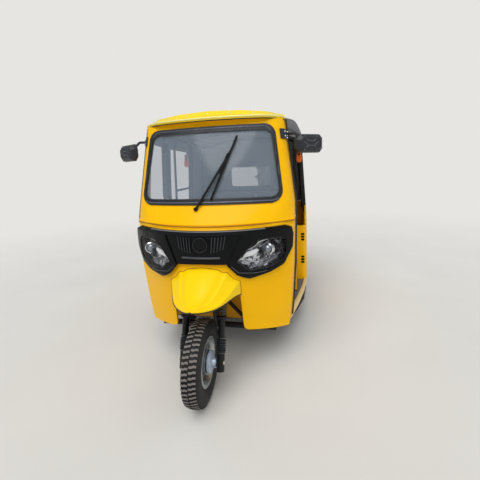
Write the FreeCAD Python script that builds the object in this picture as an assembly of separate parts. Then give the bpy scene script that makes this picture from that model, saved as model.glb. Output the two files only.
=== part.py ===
import FreeCAD, Part
import math
import os

os.makedirs("parts", exist_ok=True)
V = FreeCAD.Vector

# Passenger auto rickshaw, millimetres. The front faces -Y and the vehicle's left side is +X.
# Lengthwise places are measured rearwards from the front axle while modelling;
# each piece is then moved so that the origin lies under the middle of the overall length.

# Whole vehicle
wheelbase = 2000.0
tail_overhang = 330.0
bumper_reach = 47.5
tyre_radius = 247.5
rear_track = 1180.0
door_edge_y = 560.0
belt_z = 1040.0
screen_foot_z = 1160.0
header_z = 1720.0
floor_top_z = 300.0
seat_deck_z = 600.0
side_top_z = 960.0
tub_front_y = 1240.0
rear_wall_y = wheelbase + tail_overhang
overall_length = tyre_radius + rear_wall_y + bumper_reach
front_axle_y = tyre_radius - overall_length / 2

# Sheet and wall thicknesses
cab_wall = 18.0
tub_wall = 18.0
sheet = 12.0
fender_wall = 5.0
canopy_wall = 12.0
glass_thickness = 5.0
soft_gap = 0.4
run_gap = 0.5

# Wheels: 4.50-10 tyres on split steel rims
tyre_half_width = 53.0
bead_radius = 127.0
flange_radius = 143.0
flange_half_width = 42.0
flange_width = 5.0
drum_radius = 72.0
drum_half_width = 46.0
rim_sheet = 4.0
wheel_bolt_circle = 92.0
wheel_bolts = 6

# Steering
rake_deg = 19.0
fork_offset = 40.0
fork_half_gauge = 115.0
fork_tube_radius = 21.0
stem_radius = 16.0
stem_top = 800.0
head_low = 386.0
head_high = 515.0
bar_rise = 839.0
bar_back = 85.0
bar_radius = 11.0
grip_radius = 17.0
grip_end_x = 280.0
grip_end_back = 160.0
grip_end_rise = 822.0
front_axle_radius = 8.0
front_axle_half = 140.0

# Cab shell in plan, row by row: the nose arc runs to the bow point, a corner arc to the
# side point and a straight side to the door edge.
# columns: z, nose_y, bow_x, bow_y, side_x, side_y, door_x
cab_rows = [
    (283.0, 165.0, 330.0, 270.0, 515.0, 415.0, 530.0),
    (450.0, 140.0, 345.0, 250.0, 530.0, 400.0, 545.0),
    (720.0, 95.0, 365.0, 225.0, 545.0, 375.0, 560.0),
    (1000.0, 125.0, 380.0, 245.0, 553.0, 385.0, 566.0),
    (belt_z, 150.0, 385.0, 262.0, 555.0, 390.0, 567.0),
    (screen_foot_z, 255.0, 430.0, 330.0, 553.0, 425.0, 565.0),
    (header_z, 425.0, 380.0, 455.0, 490.0, 515.0, 500.0),
]

# Canopy cross-sections: a side line from the foot to the shoulder, a corner arc to the
# edge of the roof and a crowned roof arc.
# columns: y, foot_x, shoulder_x, shoulder_z, roof_x, roof_z, crown_z
canopy_rows = [
    (door_edge_y, 545.0, 512.0, 1655.0, 440.0, 1745.0, 1790.0),
    (1000.0, 645.0, 610.0, 1660.0, 530.0, 1785.0, 1830.0),
    (1350.0, 680.0, 640.0, 1665.0, 550.0, 1790.0, 1836.0),
    (rear_wall_y - 530, 688.0, 648.0, 1660.0, 555.0, 1785.0, 1830.0),
    (rear_wall_y - 70, 680.0, 632.0, 1620.0, 530.0, 1740.0, 1785.0),
    (rear_wall_y - 2, 650.0, 600.0, 1590.0, 500.0, 1700.0, 1740.0),
]


def write(name, *solids):
    """Write the solids as one piece, moved into the vehicle's frame."""
    shape = solids[0].copy() if len(solids) == 1 else Part.makeCompound(list(solids))
    shape.translate(V(0, front_axle_y, 0))
    shape.exportStep("parts/%s.step" % name)


def box(x0, x1, y0, y1, z0, z1):
    return Part.makeBox(x1 - x0, y1 - y0, z1 - z0, V(x0, y0, z0))


def rod(start, end, radius):
    along = V(*end) - V(*start)
    return Part.makeCylinder(radius, along.Length, V(*start), along)


def mirrored(shape):
    return shape.mirror(V(0, 0, 0), V(1, 0, 0))


def fused(shapes):
    return shapes[0].fuse(shapes[1:]).removeSplitter()


def rounded_corners(points, closed):
    """Lines and arcs through 3-D points given as (vector, corner radius)."""
    count = len(points)
    turns = []
    for i in range(count):
        here, radius = points[i]
        at_end = not closed and i in (0, count - 1)
        if radius == 0 or at_end:
            turns.append((here, None, here))
            continue
        back = points[i - 1][0] - here
        ahead = points[(i + 1) % count][0] - here
        back.normalize()
        ahead.normalize()
        half = back.getAngle(ahead) / 2
        reach = radius / math.tan(half)
        inward = back + ahead
        inward.normalize()
        middle = here + inward * (radius / math.sin(half) - radius)
        turns.append((here + back * reach, middle, here + ahead * reach))
    edges = []
    for i in range(count):
        first, middle, last = turns[i]
        if middle is not None:
            edges.append(Part.Arc(first, middle, last).toShape())
        if i == count - 1 and not closed:
            continue
        following = turns[(i + 1) % count][0]
        if (following - last).Length > 0.001:
            edges.append(Part.makeLine(last, following))
    return Part.Wire(edges)


def pipe(points, bend, radius):
    """A round tube along 3-D points with bends of one radius."""
    path = rounded_corners([(V(*p), bend) for p in points], False)
    start = V(*points[0])
    ring = Part.Wire(Part.makeCircle(radius, start, V(*points[1]) - start))
    return path.makePipeShell([ring], True, False)


def plate_xz(points, y0, y1):
    """A front-view outline of (x, z, corner radius) carried from y0 to y1."""
    wire = rounded_corners([(V(x, y0, z), r) for x, z, r in points], True)
    return Part.Face(wire).extrude(V(0, y1 - y0, 0))


def plate_yz(points, x0, x1):
    """A side-view outline of (y, z, corner radius) carried from x0 to x1."""
    wire = rounded_corners([(V(x0, y, z), r) for y, z, r in points], True)
    return Part.Face(wire).extrude(V(x1 - x0, 0, 0))


def plate_xy(points, z0, z1):
    """A plan outline of (x, y, corner radius) carried from z0 to z1."""
    wire = rounded_corners([(V(x, y, z0), r) for x, y, r in points], True)
    return Part.Face(wire).extrude(V(0, 0, z1 - z0))


def symmetric(half):
    """Outline points on the +X side, from top or bottom centre, with their mirror images."""
    return half + [(-u, v, r) for u, v, r in reversed(half) if u != 0]


def between(rows, value):
    """The table row at a first-column value, on the straight line between its neighbours."""
    for low, high in zip(rows, rows[1:]):
        if low[0] <= value <= high[0]:
            share = (value - low[0]) / (high[0] - low[0])
            return [a + (b - a) * share for a, b in zip(low, high)]
    return list(rows[0] if value < rows[0][0] else rows[-1])


def nose_arc(row):
    """Radius of the nose arc and the y of its centre."""
    nose_y, bow_x, bow_y = row[1:4]
    depth = bow_y - nose_y
    radius = (bow_x ** 2 + depth ** 2) / (2 * depth)
    return radius, nose_y + radius


def cab_wire(z, inset, back_y):
    """The cab's plan at height z, moved inwards by inset, closed straight across at back_y."""
    row = between(cab_rows, z)
    bow_x, bow_y, side_x, side_y, door_x = row[2:7]
    radius, centre_y = nose_arc(row)
    shrink = (radius - inset) / radius
    bow = V(bow_x * shrink, centre_y + (bow_y - centre_y) * shrink, z)
    side = V(side_x - inset, side_y, z)
    lean = (door_x - side_x) / (door_edge_y - side_y)
    door = V(side.x + lean * (back_y - side_y), back_y, z)
    slope = bow_x / (centre_y - bow_y)
    corner_x = (side.x - lean * side.y + lean * (bow.y - slope * bow.x)) / (1 - lean * slope)
    corner = V(corner_x, bow.y + slope * (corner_x - bow.x), z)
    turn = bow * 0.25 + corner * 0.5 + side * 0.25
    nose = V(0, centre_y - radius + inset, z)

    def flip(p):
        return V(-p.x, p.y, p.z)

    return Part.Wire([
        Part.makeLine(flip(door), flip(side)),
        Part.Arc(flip(side), flip(turn), flip(bow)).toShape(),
        Part.Arc(flip(bow), nose, bow).toShape(),
        Part.Arc(bow, turn, side).toShape(),
        Part.makeLine(side, door),
        Part.makeLine(door, flip(door)),
    ])


def cab_block(heights, insets, back_y=door_edge_y):
    """The cab's shape between heights, each level moved inwards by its own inset."""
    wires = [cab_wire(z, inset, back_y) for z, inset in zip(heights, insets)]
    return Part.makeLoft(wires, True, True)


def cab_levels(low, high):
    return [low] + [row[0] for row in cab_rows if low < row[0] < high] + [high]


def cab_solid(low, high, inset, back_y=door_edge_y):
    heights = cab_levels(low, high)
    return cab_block(heights, [inset] * len(heights), back_y)


def cab_front_y(x, z, inset):
    """Where the cab's nose surface, moved inwards by inset, lies at x and z."""
    radius, centre_y = nose_arc(between(cab_rows, z))
    return centre_y - math.sqrt((radius - inset) ** 2 - x ** 2)


def cab_shell(low, high):
    heights = cab_levels(low, high)
    return cab_solid(low, high, 0).cut(cab_solid(low, high, cab_wall, door_edge_y + 10))


# Apron: the lower front shell, cut for the wheel and along its lower edge
apron_foot_z = 283.0
arch_half_width = 222.0
arch_shoulder_z = 600.0
arch_top_z = 718.0
arch_top_half = 190.0
apron_inner_z = 348.0
arch_cut = plate_xz(symmetric([
    (0.0, arch_top_z, 0),
    (arch_top_half, arch_top_z, 30.0),
    (arch_top_half, arch_shoulder_z + 42, 12.0),
    (arch_half_width, arch_shoulder_z, 20.0),
    (arch_half_width + 8, apron_inner_z, 42.0),
    (505.0, apron_foot_z, 60.0),
    (700.0, apron_foot_z - 4, 0),
    (700.0, 100.0, 0),
]), -400.0, 800.0)

# Lamp openings in the mask, seen from the front
# columns: x, z, corner radius
lamp_outline = [
    (211.0, 832.0, 8.0),
    (287.0, 915.0, 14.0),
    (350.0, 958.0, 20.0),
    (480.0, 957.0, 10.0),
    (508.0, 930.0, 12.0),
    (506.0, 850.0, 20.0),
    (484.0, 803.0, 22.0),
    (413.0, 770.0, 30.0),
    (290.0, 768.0, 14.0),
]


def shrunk(points, gap):
    """The lamp outline drawn in by a gap along all its sides."""
    edge = rounded_corners([(V(x, 0, z), r) for x, z, r in points], True)
    return edge if gap == 0 else edge.makeOffset2D(-gap)


def lamp_prism(gap):
    wire = shrunk(lamp_outline, gap)
    wire.translate(V(0, -200, 0))
    return Part.Face(wire).extrude(V(0, 900, 0))


lamp_hole = lamp_prism(0)
lamp_pan_depth = 34.0
lamp_seat_gap = 0.4
lamp_rim = 5.0

apron = cab_shell(apron_foot_z, belt_z).cut([arch_cut, lamp_hole, mirrored(lamp_hole)])
write("front_apron", apron)

# Windscreen frame: cowl panel, pillars and header in one shell with the screen cut out
screen_foot_half = 490.0
screen_head_half = 430.0
screen_low_z = 1172.0
screen_high_z = 1668.0
screen_corner = 70.0


def screen_prism(grow, rise):
    """The windscreen opening, made larger by grow at its sides and by rise at its foot and head."""
    radius = screen_corner + grow
    corners = symmetric([(screen_foot_half + grow, screen_low_z - rise, radius),
                         (screen_head_half + grow, screen_high_z + rise, radius)])
    return plate_xz(corners, -100.0, door_edge_y - 2)


screen_frame = cab_shell(belt_z, header_z).cut(screen_prism(0, 0))
write("windscreen_frame", screen_frame)

seal_lap = 8.0
seal_side = 17.0
seal_band_height = 30.0
seal_proud = 6.0
seal_inset = 22.0
glass_inset = 5.0
glass_edge = 10.0
glass_band = cab_solid(belt_z, header_z, glass_inset).cut(
    cab_solid(belt_z, header_z, glass_inset + glass_thickness, door_edge_y + 10))
glass = glass_band.common(screen_prism(-glass_edge, -glass_edge))
seal_band = cab_solid(belt_z, header_z, -seal_proud).cut(
    cab_solid(belt_z, header_z, seal_inset, door_edge_y + 10))
seal = seal_band.common(screen_prism(seal_lap, seal_lap))
seal = seal.cut([screen_prism(-seal_side, -seal_band_height), screen_frame, glass])
seal = max(seal.Solids, key=lambda s: s.Volume)
write("windscreen_glass", glass)
write("windscreen_seal", seal)

# Mask: the black front panel that carries both lamps, standing proud of the cab
# columns: z, how far it stands proud
mask_proud = 32.0
mask_levels = [
    (705.0, 12.0),
    (735.0, 26.0),
    (850.0, mask_proud),
    (998.0, mask_proud),
    (1024.0, 12.0),
]
# columns: x, z, corner radius
mask_outline = symmetric([
    (0.0, 1020.0, 0),
    (500.0, 1020.0, 0),
    (543.0, 1002.0, 14.0),
    (553.0, 955.0, 0),
    (548.0, 876.0, 40.0),
    (492.0, 772.0, 40.0),
    (410.0, 740.0, 0),
    (287.0, 716.0, 18.0),
    (216.0, 752.0, 10.0),
    (155.0, 819.0, 10.0),
    (0.0, 824.0, 0),
])
mask_block = cab_block([z for z, proud in mask_levels], [-proud for z, proud in mask_levels])
cab_core = cab_solid(600.0, screen_foot_z, 0)
mask = mask_block.common(plate_xz(mask_outline, -200.0, 540.0)).cut(cab_core)
mask = mask.cut([lamp_hole, mirrored(lamp_hole)])
# The middle of the mask lies back from the ledge along its top and from the lamp surrounds
recess_depth = 8.0
recess_shape = plate_xz(symmetric([(246.0, 996.0, 6.0), (160.0, 812.0, 0)]), -200.0, 540.0)
mask = mask.cut(recess_shape.cut(cab_solid(700.0, belt_z, recess_depth - mask_proud)))

# Gills, the plain round boss and the slot bar of the mask
# columns: x at the top, x at the foot, top z, foot z
gill_rows = [
    (62.0, 56.0, 984.0, 892.0),
    (82.0, 74.0, 985.0, 896.0),
    (102.0, 92.0, 986.0, 901.0),
    (122.0, 110.0, 987.0, 906.0),
    (142.0, 128.0, 988.0, 912.0),
]
gill_width = 9.0
gill_depth = 7.0
gill_floor = recess_depth + gill_depth - mask_proud


def mask_cut(x0, x1, top_z, foot_z, width):
    """A slot sunk into the mask's face between two heights."""
    points = [(x0 - width / 2, top_z, 3.0), (x0 + width / 2, top_z, 3.0),
              (x1 + width / 2, foot_z, 3.0), (x1 - width / 2, foot_z, 3.0)]
    floor = cab_solid(830.0, 1030.0, gill_floor)
    return plate_xz(points, -100.0, 300.0).cut(floor)


gills = [mask_cut(*row, gill_width) for row in gill_rows]
slot_bar = mask_cut(0.0, 0.0, 872.0, 851.0, 248.0)
mask = mask.cut(gills + [mirrored(g) for g in gills] + [slot_bar])
boss_z = 942.0
boss_radius = 45.0
boss_ring = 5.0
boss_dish = 3.0
boss_depth = 20.0
boss_face_y = cab_front_y(0, boss_z, -mask_proud)
boss = rod((0, boss_face_y, boss_z), (0, boss_face_y + boss_depth, boss_z), boss_radius)
boss = boss.cut(rod((0, boss_face_y - 1, boss_z), (0, boss_face_y + boss_dish, boss_z),
                    boss_radius - boss_ring))
boss = boss.cut(cab_core)
mask = fused([mask, boss])
write("front_mask", mask)

# Headlamps: a pan let into mask and apron behind a clear lens that follows the mask
lens_proud = 29.0
lens_thickness = 4.0


def lamp_band(outer, inner):
    """The layer of the cab's form between two insets, at lamp height."""
    return cab_solid(740.0, 980.0, outer).cut(cab_solid(740.0, 980.0, inner, door_edge_y + 10))


lens = lamp_band(-lens_proud, lens_thickness - lens_proud).common(lamp_prism(lamp_seat_gap))
pan = lamp_band(lens_thickness - lens_proud, lamp_pan_depth).common(lamp_prism(lamp_seat_gap))
pan_core = lamp_band(-60.0, lamp_pan_depth - lamp_rim).common(lamp_prism(lamp_seat_gap + lamp_rim))
pan = pan.cut(pan_core)
# Reflector bowls set in the pan: columns: x, z, radius
bowl_rows = [
    (440.0, 890.0, 40.0),
    (345.0, 860.0, 30.0),
]
bowls = []
for bowl_x, bowl_z, bowl_radius in bowl_rows:
    back_y = between([(290.0, 195.0), (345.0, 218.0), (440.0, 268.0)], bowl_x)[1]
    cup = Part.makeCone(bowl_radius * 0.55, bowl_radius, 30.0, V(bowl_x, back_y + 14, bowl_z), V(0, -1, 0))
    hollow = Part.makeCone(bowl_radius * 0.4, bowl_radius - 3, 28.0,
                           V(bowl_x, back_y + 11, bowl_z), V(0, -1, 0))
    socket = rod((bowl_x, back_y + 12, bowl_z), (bowl_x, back_y + 150, bowl_z), bowl_radius * 0.5)
    bowls += [cup.cut(hollow), socket]
pan = fused([pan] + bowls).common(lamp_band(lens_thickness - lens_proud, lamp_pan_depth))
write("headlamp_housings", pan, mirrored(pan))
write("headlamp_lenses", lens, mirrored(lens))

# Front fender: a fixed beak over the wheel, arched between two ridges, with a flange at each side
# columns: y, half width, edge z, shoulder z, ridge x, ridge z, crown z
fender_rows = [
    (-145.0, 10.0, 628.0, 632.0, 7.0, 634.0, 635.0),
    (-130.0, 31.0, 622.0, 630.0, 24.0, 637.0, 641.0),
    (-100.0, 66.0, 612.0, 622.0, 55.0, 633.0, 653.0),
    (-60.0, 112.0, 609.0, 620.0, 86.0, 640.0, 679.0),
    (-10.0, 151.0, 614.0, 634.0, 110.0, 670.0, 715.0),
    (50.0, 181.0, 621.0, 655.0, 134.0, 709.0, 759.0),
    (100.0, 204.0, 623.0, 682.0, 147.0, 747.0, 793.0),
    (150.0, 228.0, 616.0, 705.0, 158.0, 785.0, 822.0),
]
arch_share_x = 0.52
arch_share_z = 0.74
fender_core_drop = 30.0


def fender_section(row, inset, drop):
    """The beak's section at one row, drawn in by inset and open below by drop."""
    y, half, edge_z, shoulder_z, ridge_x, ridge_z, crown_z = row
    arch_z = ridge_z + arch_share_z * (crown_z - ridge_z)
    right = [
        (half - inset, edge_z - drop),
        (half - inset, shoulder_z - inset * 0.6),
        (ridge_x - inset * 0.5, ridge_z - inset),
        ((ridge_x - inset * 0.5) * arch_share_x, arch_z - inset),
    ]
    points = right + [(0.0, crown_z - inset)] + [(-x, z) for x, z in reversed(right)]
    corners = [V(x, y, z) for x, z in points]
    return Part.makePolygon(corners + [corners[0]])


tip_row = fender_rows[0]
core_rows = [(tip_row[0] + fender_wall,) + tip_row[1:]] + fender_rows[1:]
fender_outer = Part.makeLoft([fender_section(row, 0, 0) for row in fender_rows], True, True)
fender_core = Part.makeLoft([fender_section(row, fender_wall, fender_core_drop) for row in core_rows],
                            True, True)
fender = fender_outer.cut([fender_core, cab_solid(450.0, 1000.0, 0)])
fender = max(fender.Solids, key=lambda s: s.Volume)
write("front_fender", fender)

# Bulkhead: the wall and shelf that close the cab behind and above the wheel
bulkhead_y = 430.0
shelf_z = 735.0
column_hole = 45.0


def axis_point(rise, back=0.0, x=0.0):
    """A point in the steering frame: rise along the steering axis, back square to it."""
    rake = math.radians(rake_deg)
    foot_y = fork_offset * math.cos(rake)
    foot_z = tyre_radius - fork_offset * math.sin(rake)
    return (x,
            foot_y + back * math.cos(rake) + rise * math.sin(rake),
            foot_z - back * math.sin(rake) + rise * math.cos(rake))


bulkhead_sheet = fused([
    box(-600, 600, bulkhead_y, bulkhead_y + sheet, floor_top_z, shelf_z + sheet),
    box(-600, 600, 50, bulkhead_y + sheet, shelf_z, shelf_z + sheet),
])
bulkhead = bulkhead_sheet.common(cab_solid(apron_foot_z, belt_z, cab_wall))
bulkhead = bulkhead.cut(rod(axis_point(head_high - 30), axis_point(stem_top), column_hole))
write("front_bulkhead", bulkhead)

# Chassis: rails, cross members, outriggers, neck and steering head
rail_x = 250.0
rail_half = 30.0
front_cross_y = 398.0
rail_depth = 60.0
rail_top_z = floor_top_z - sheet
rail_low_z = rail_top_z - rail_depth
tail_rail_top_z = 325.0
tail_rail_low_z = tail_rail_top_z - rail_depth
tail_rail_y = tub_front_y + tub_wall + 4
rail_joint = 50.0
rails = []
rail_back_y = rear_wall_y - 45
for side in (-1, 1):
    inner_x = side * rail_x - rail_half
    outer_x = side * rail_x + rail_half
    rails.append(box(inner_x, outer_x, front_cross_y, tail_rail_y + rail_joint, rail_low_z, rail_top_z))
    rails.append(box(inner_x, outer_x, tail_rail_y, rail_back_y, tail_rail_low_z, tail_rail_top_z))
cross_radius = 20.0
cross_reach = 425.0
front_cross_z = rail_low_z + 35
front_cross = rod((-cross_reach, front_cross_y, front_cross_z), (cross_reach, front_cross_y, front_cross_z),
                  cross_radius)
# columns: y of the cross member, how far it reaches to each side, its top z
cross_rows = [
    (640.0, 510.0, rail_top_z),
    (968.0, 585.0, rail_top_z),
    (tub_front_y - 25, 630.0, rail_top_z),
    (tub_front_y + 50, 640.0, tail_rail_top_z),
    (rear_wall_y - 710, rail_x, tail_rail_top_z),
    (rear_wall_y - 70, rail_x, tail_rail_top_z),
]
cross_depth = 36.0
crosses = [box(-reach, reach, y - cross_depth / 2, y + cross_depth / 2, top_z - cross_depth, top_z)
           for y, reach, top_z in cross_rows]
head_radius = 30.0
neck_radius = 26.0
brace_radius = 13.0
head_tube = rod(axis_point(head_low), axis_point(head_high), head_radius)
neck = pipe([(0, front_cross_y, front_cross_z), (0, 372, 520), axis_point((head_low + head_high) / 2)],
            70.0, neck_radius)
braces = [rod((side * rail_x, front_cross_y, front_cross_z + 5), (side * 10, 366, 545), brace_radius)
          for side in (-1, 1)]
# Towing eye: a lug on the rear cross member, bored crosswise
tow_eye_y = rear_wall_y + 12
tow_eye_z = 281.0
tow_lug_low_z = tail_rail_low_z - 2
tow_lug_top_z = tow_eye_z + 18
tow_eye_radius = 10.0
tow_lug_half = 8.0
tow_lug_end = tow_eye_y + 26
tow_lug_round = 16.0
tow_lug = plate_yz([(rear_wall_y - 80, tow_lug_low_z, 0), (tow_lug_end, tow_lug_low_z, tow_lug_round),
                    (tow_lug_end, tow_lug_top_z, tow_lug_round), (rear_wall_y - 80, tow_lug_top_z, 0)],
                   -tow_lug_half, tow_lug_half)
tow_bore = rod((-20, tow_eye_y, tow_eye_z), (20, tow_eye_y, tow_eye_z), tow_eye_radius)
chassis = fused(rails + [front_cross, head_tube, neck, tow_lug] + crosses + braces)
steering_bore = rod(axis_point(head_low - 40), axis_point(head_high + 40), stem_radius + run_gap)
chassis = chassis.cut([steering_bore, tow_bore])
write("chassis_frame", chassis)

# Floor pan of checker plate, its sills and the guard pipes outside them
# columns: x, y along the edge of the floor
floor_edge = [
    (512.0, door_edge_y),
    (577.0, 820.0),
    (624.0, 1050.0),
    (652.0, tub_front_y),
]
floor_toe_x = 490.0
floor_tail_y = tub_front_y + tub_wall
floor_half = [(0.0, bulkhead_y + sheet, 0), (floor_toe_x, bulkhead_y + sheet, 0)]
floor_half += [(floor_toe_x, door_edge_y, 0)] + [(x, y, 0) for x, y in floor_edge]
floor_half += [(floor_edge[-1][0], floor_tail_y, 0), (0.0, floor_tail_y, 0)]
write("floor_pan", plate_xy(symmetric(floor_half), floor_top_z - sheet, floor_top_z))

sill_width = 18.0
sill_low_z = floor_top_z - 45
sill_top_z = floor_top_z + 12
sill_points = [(x, y, 0) for x, y in floor_edge]
sill_points += [(x + sill_width, y, 0) for x, y in reversed(floor_edge)]
sill = plate_xy(sill_points, sill_low_z, sill_top_z)
sill = sill.cut(box(0, 700, door_edge_y - 10, door_edge_y + soft_gap, sill_low_z - 1, sill_top_z + 1))
write("side_sills", sill, mirrored(sill))

guard_radius = 12.5
guard_z = 232.0
guard_bend = 45.0
guard_points = [
    (405.0, front_cross_y + 6, front_cross_z - 1),
    (462.0, 545.0, guard_z + 4),
    (508.0, 610.0, guard_z),
    (566.0, 742.0, guard_z),
    (626.0, 952.0, guard_z),
    (650.0, 1160.0, guard_z + 4),
    (654.0, tub_front_y - 4, floor_top_z - 14),
]
guard = pipe(guard_points, guard_bend, guard_radius)
# columns: y, x of the guard pipe there
guard_ties = [(640.0, 523.0), (968.0, 628.0), (1150.0, 649.0)]
tie_radius = 9.0
tie_foot_half = 14.0
tie_foot_reach = 44.0
guard_z_at_ties = guard_z + 2
ties = [rod((rail_x + rail_half + 20, y, guard_z_at_ties), (x, y, guard_z_at_ties), tie_radius)
        for y, x in guard_ties]
feet = [box(rail_x + rail_half, rail_x + rail_half + tie_foot_reach, y - tie_foot_half, y + tie_foot_half,
            rail_low_z, rail_low_z + 20) for y, x in guard_ties]
above_guard = box(600, 720, 1150, tub_front_y + 20, sill_low_z - soft_gap, floor_top_z)
guard = fused([guard] + ties + feet).cut([chassis, above_guard])
guard = max(guard.Solids, key=lambda s: s.Volume)
write("side_guard_pipes", guard, mirrored(guard))

# Rear tub: side walls, front wall of the seat box and rear wall from one plan
tub_foot_z = floor_top_z
# columns: x, y, corner radius
tub_plan = [
    (0.0, tub_front_y, 0),
    (676.0, tub_front_y, 50.0),
    (690.0, rear_wall_y - 690, 500.0),
    (680.0, rear_wall_y, 80.0),
    (0.0, rear_wall_y, 0),
]


def tub_block(inset, z0, z1):
    wire = rounded_corners([(V(x, y, z0), r) for x, y, r in symmetric(tub_plan)], True)
    if inset:
        wire = wire.makeOffset2D(-inset)
    return Part.Face(wire).extrude(V(0, 0, z1 - z0))


rear_axle_y = wheelbase
arch_radius = 312.0
liner_radius = 300.0
liner_inner_x = 462.0
quarter_inner_x = 560.0
rear_split_x = 500.0
quarter_front_top_z = 830.0
tub_ring = tub_block(0, tub_foot_z, side_top_z).cut(tub_block(tub_wall, tub_foot_z, side_top_z))
liner_outer_x = 676.0
arch_bore = rod((liner_inner_x - 10, rear_axle_y, tyre_radius), (720, rear_axle_y, tyre_radius), liner_radius)
quarter = tub_ring.common(fused([
    box(quarter_inner_x, 720, tub_front_y - 1, rear_axle_y - 300, tub_foot_z, side_top_z),
    box(rear_split_x, 720, rear_axle_y - 400, rear_wall_y + 1, tub_foot_z, side_top_z),
]))
top_slope = plate_yz([(tub_front_y - 10, quarter_front_top_z, 0), (tub_front_y + 60, quarter_front_top_z + 8, 30.0),
                      (tub_front_y + 230, side_top_z - 14, 60.0), (tub_front_y + 420, side_top_z, 0),
                      (tub_front_y + 420, side_top_z + 20, 0),
                      (tub_front_y - 10, side_top_z + 20, 0)], 500.0, 720.0)
liner = rod((liner_inner_x, rear_axle_y, tyre_radius), (liner_outer_x, rear_axle_y, tyre_radius), arch_radius)
liner = liner.common(box(400, 720, rear_axle_y - 400, rear_axle_y + 400, tub_foot_z, side_top_z))
quarter = fused([quarter.cut(top_slope), liner]).cut(arch_bore)

# Air slots behind the front corner of each side panel: columns: z of the set's middle
slot_sets = (725.0, 500.0)
slot_pitch = 27.0
slot_height = 15.0
slot_front = 62.0
slot_length = 70.0
slots = []
for set_z in slot_sets:
    for step in (-1, 0, 1):
        z = set_z + step * slot_pitch
        slots.append(box(600, 720, tub_front_y + slot_front, tub_front_y + slot_front + slot_length,
                         z - slot_height / 2, z + slot_height / 2))
quarter = quarter.cut(slots)
write("rear_quarter_left", quarter)
write("rear_quarter_right", mirrored(quarter))

lid_half = 330.0
lid_low_z = 452.0
lid_top_z = 872.0
lid_gap = 5.0
rear_panel = tub_ring.common(box(-rear_split_x, rear_split_x, 2200, rear_wall_y + 1, tub_foot_z, side_top_z))
rear_panel = rear_panel.cut(box(-lid_half, lid_half, 2200, rear_wall_y + 5, lid_low_z, lid_top_z))

# Engine lid, hung on two hinges above it
hinge_y = rear_wall_y + 9.0
hinge_z = lid_top_z + 10.0
hinge_radius = 6.0
pin_radius = 3.0
hinge_x = 200.0
lid = box(-lid_half + lid_gap, lid_half - lid_gap, rear_wall_y - 14, rear_wall_y + 2,
          lid_low_z + lid_gap, lid_top_z - lid_gap)
louvres = [box(-240, 240, rear_wall_y - 20, rear_wall_y + 10, z, z + 12)
           for z in (600.0, 635.0, 670.0, 705.0, 740.0)]
lid = lid.cut(louvres)
knuckles = []
panel_knuckles = []
for side in (-1, 1):
    x = side * hinge_x
    knuckles.append(rod((x - 18, hinge_y, hinge_z), (x + 18, hinge_y, hinge_z), hinge_radius))
    knuckles.append(box(x - 18, x + 18, rear_wall_y + 2, hinge_y + hinge_radius - 2, lid_top_z - 40, hinge_z))
    for end in (-1, 1):
        near = x + end * 18.5
        far = x + end * 40
        low, high = min(near, far), max(near, far)
        panel_knuckles.append(rod((low, hinge_y, hinge_z), (high, hinge_y, hinge_z), hinge_radius))
        panel_knuckles.append(box(low, high, rear_wall_y - 4, hinge_y + hinge_radius - 2,
                                  hinge_z, hinge_z + 22))
pins = [rod((side * hinge_x - 38, hinge_y, hinge_z), (side * hinge_x + 38, hinge_y, hinge_z), pin_radius)
        for side in (-1, 1)]
pin_bores = [rod((side * hinge_x - 19, hinge_y, hinge_z), (side * hinge_x + 19, hinge_y, hinge_z),
                 pin_radius + run_gap) for side in (-1, 1)]
lid = fused([lid] + knuckles).cut(pin_bores)
# Two holes for a number plate above the lid
plate_hole_x = 75.0
plate_hole_z = 920.0
plate_hole_radius = 3.5
plate_holes = [rod((side * plate_hole_x, rear_wall_y - tub_wall - 5, plate_hole_z),
                   (side * plate_hole_x, rear_wall_y + 5, plate_hole_z), plate_hole_radius)
               for side in (-1, 1)]
rear_panel = fused([rear_panel] + panel_knuckles + pins).cut(plate_holes)
write("rear_panel", rear_panel)
write("engine_lid", lid)

# Tail lamps and rear bumper
lamp_block = plate_xz([(378.0, 690.0, 12.0), (470.0, 690.0, 12.0), (470.0, 850.0, 12.0),
                       (378.0, 850.0, 12.0)], rear_wall_y, rear_wall_y + 22)
write("tail_lamps", lamp_block, mirrored(lamp_block))
bumper_radius = 19.0
bumper_y = rear_wall_y + bumper_reach - bumper_radius
bumper_z = 398.0
bumper = rod((-480, bumper_y, bumper_z), (480, bumper_y, bumper_z), bumper_radius)
stays = [box(side * 250 - 20, side * 250 + 20, rear_wall_y, bumper_y, bumper_z - 14, bumper_z + 14)
         for side in (-1, 1)]
write("rear_bumper", fused([bumper] + stays))

# Seat box and deck over the engine
deck_edge_x = quarter_inner_x
firewall_y = rear_wall_y - 420
seat_front = tub_ring.common(box(-deck_edge_x, deck_edge_x, tub_front_y - 1, tub_front_y + 100,
                                 tub_foot_z, seat_deck_z))
deck = box(-deck_edge_x, deck_edge_x, tub_front_y + tub_wall, rear_wall_y - tub_wall,
           seat_deck_z - sheet, seat_deck_z)
firewall = box(-deck_edge_x, deck_edge_x, firewall_y, firewall_y + sheet, seat_deck_z, side_top_z)
write("seat_box", fused([seat_front, deck, firewall]))

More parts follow.
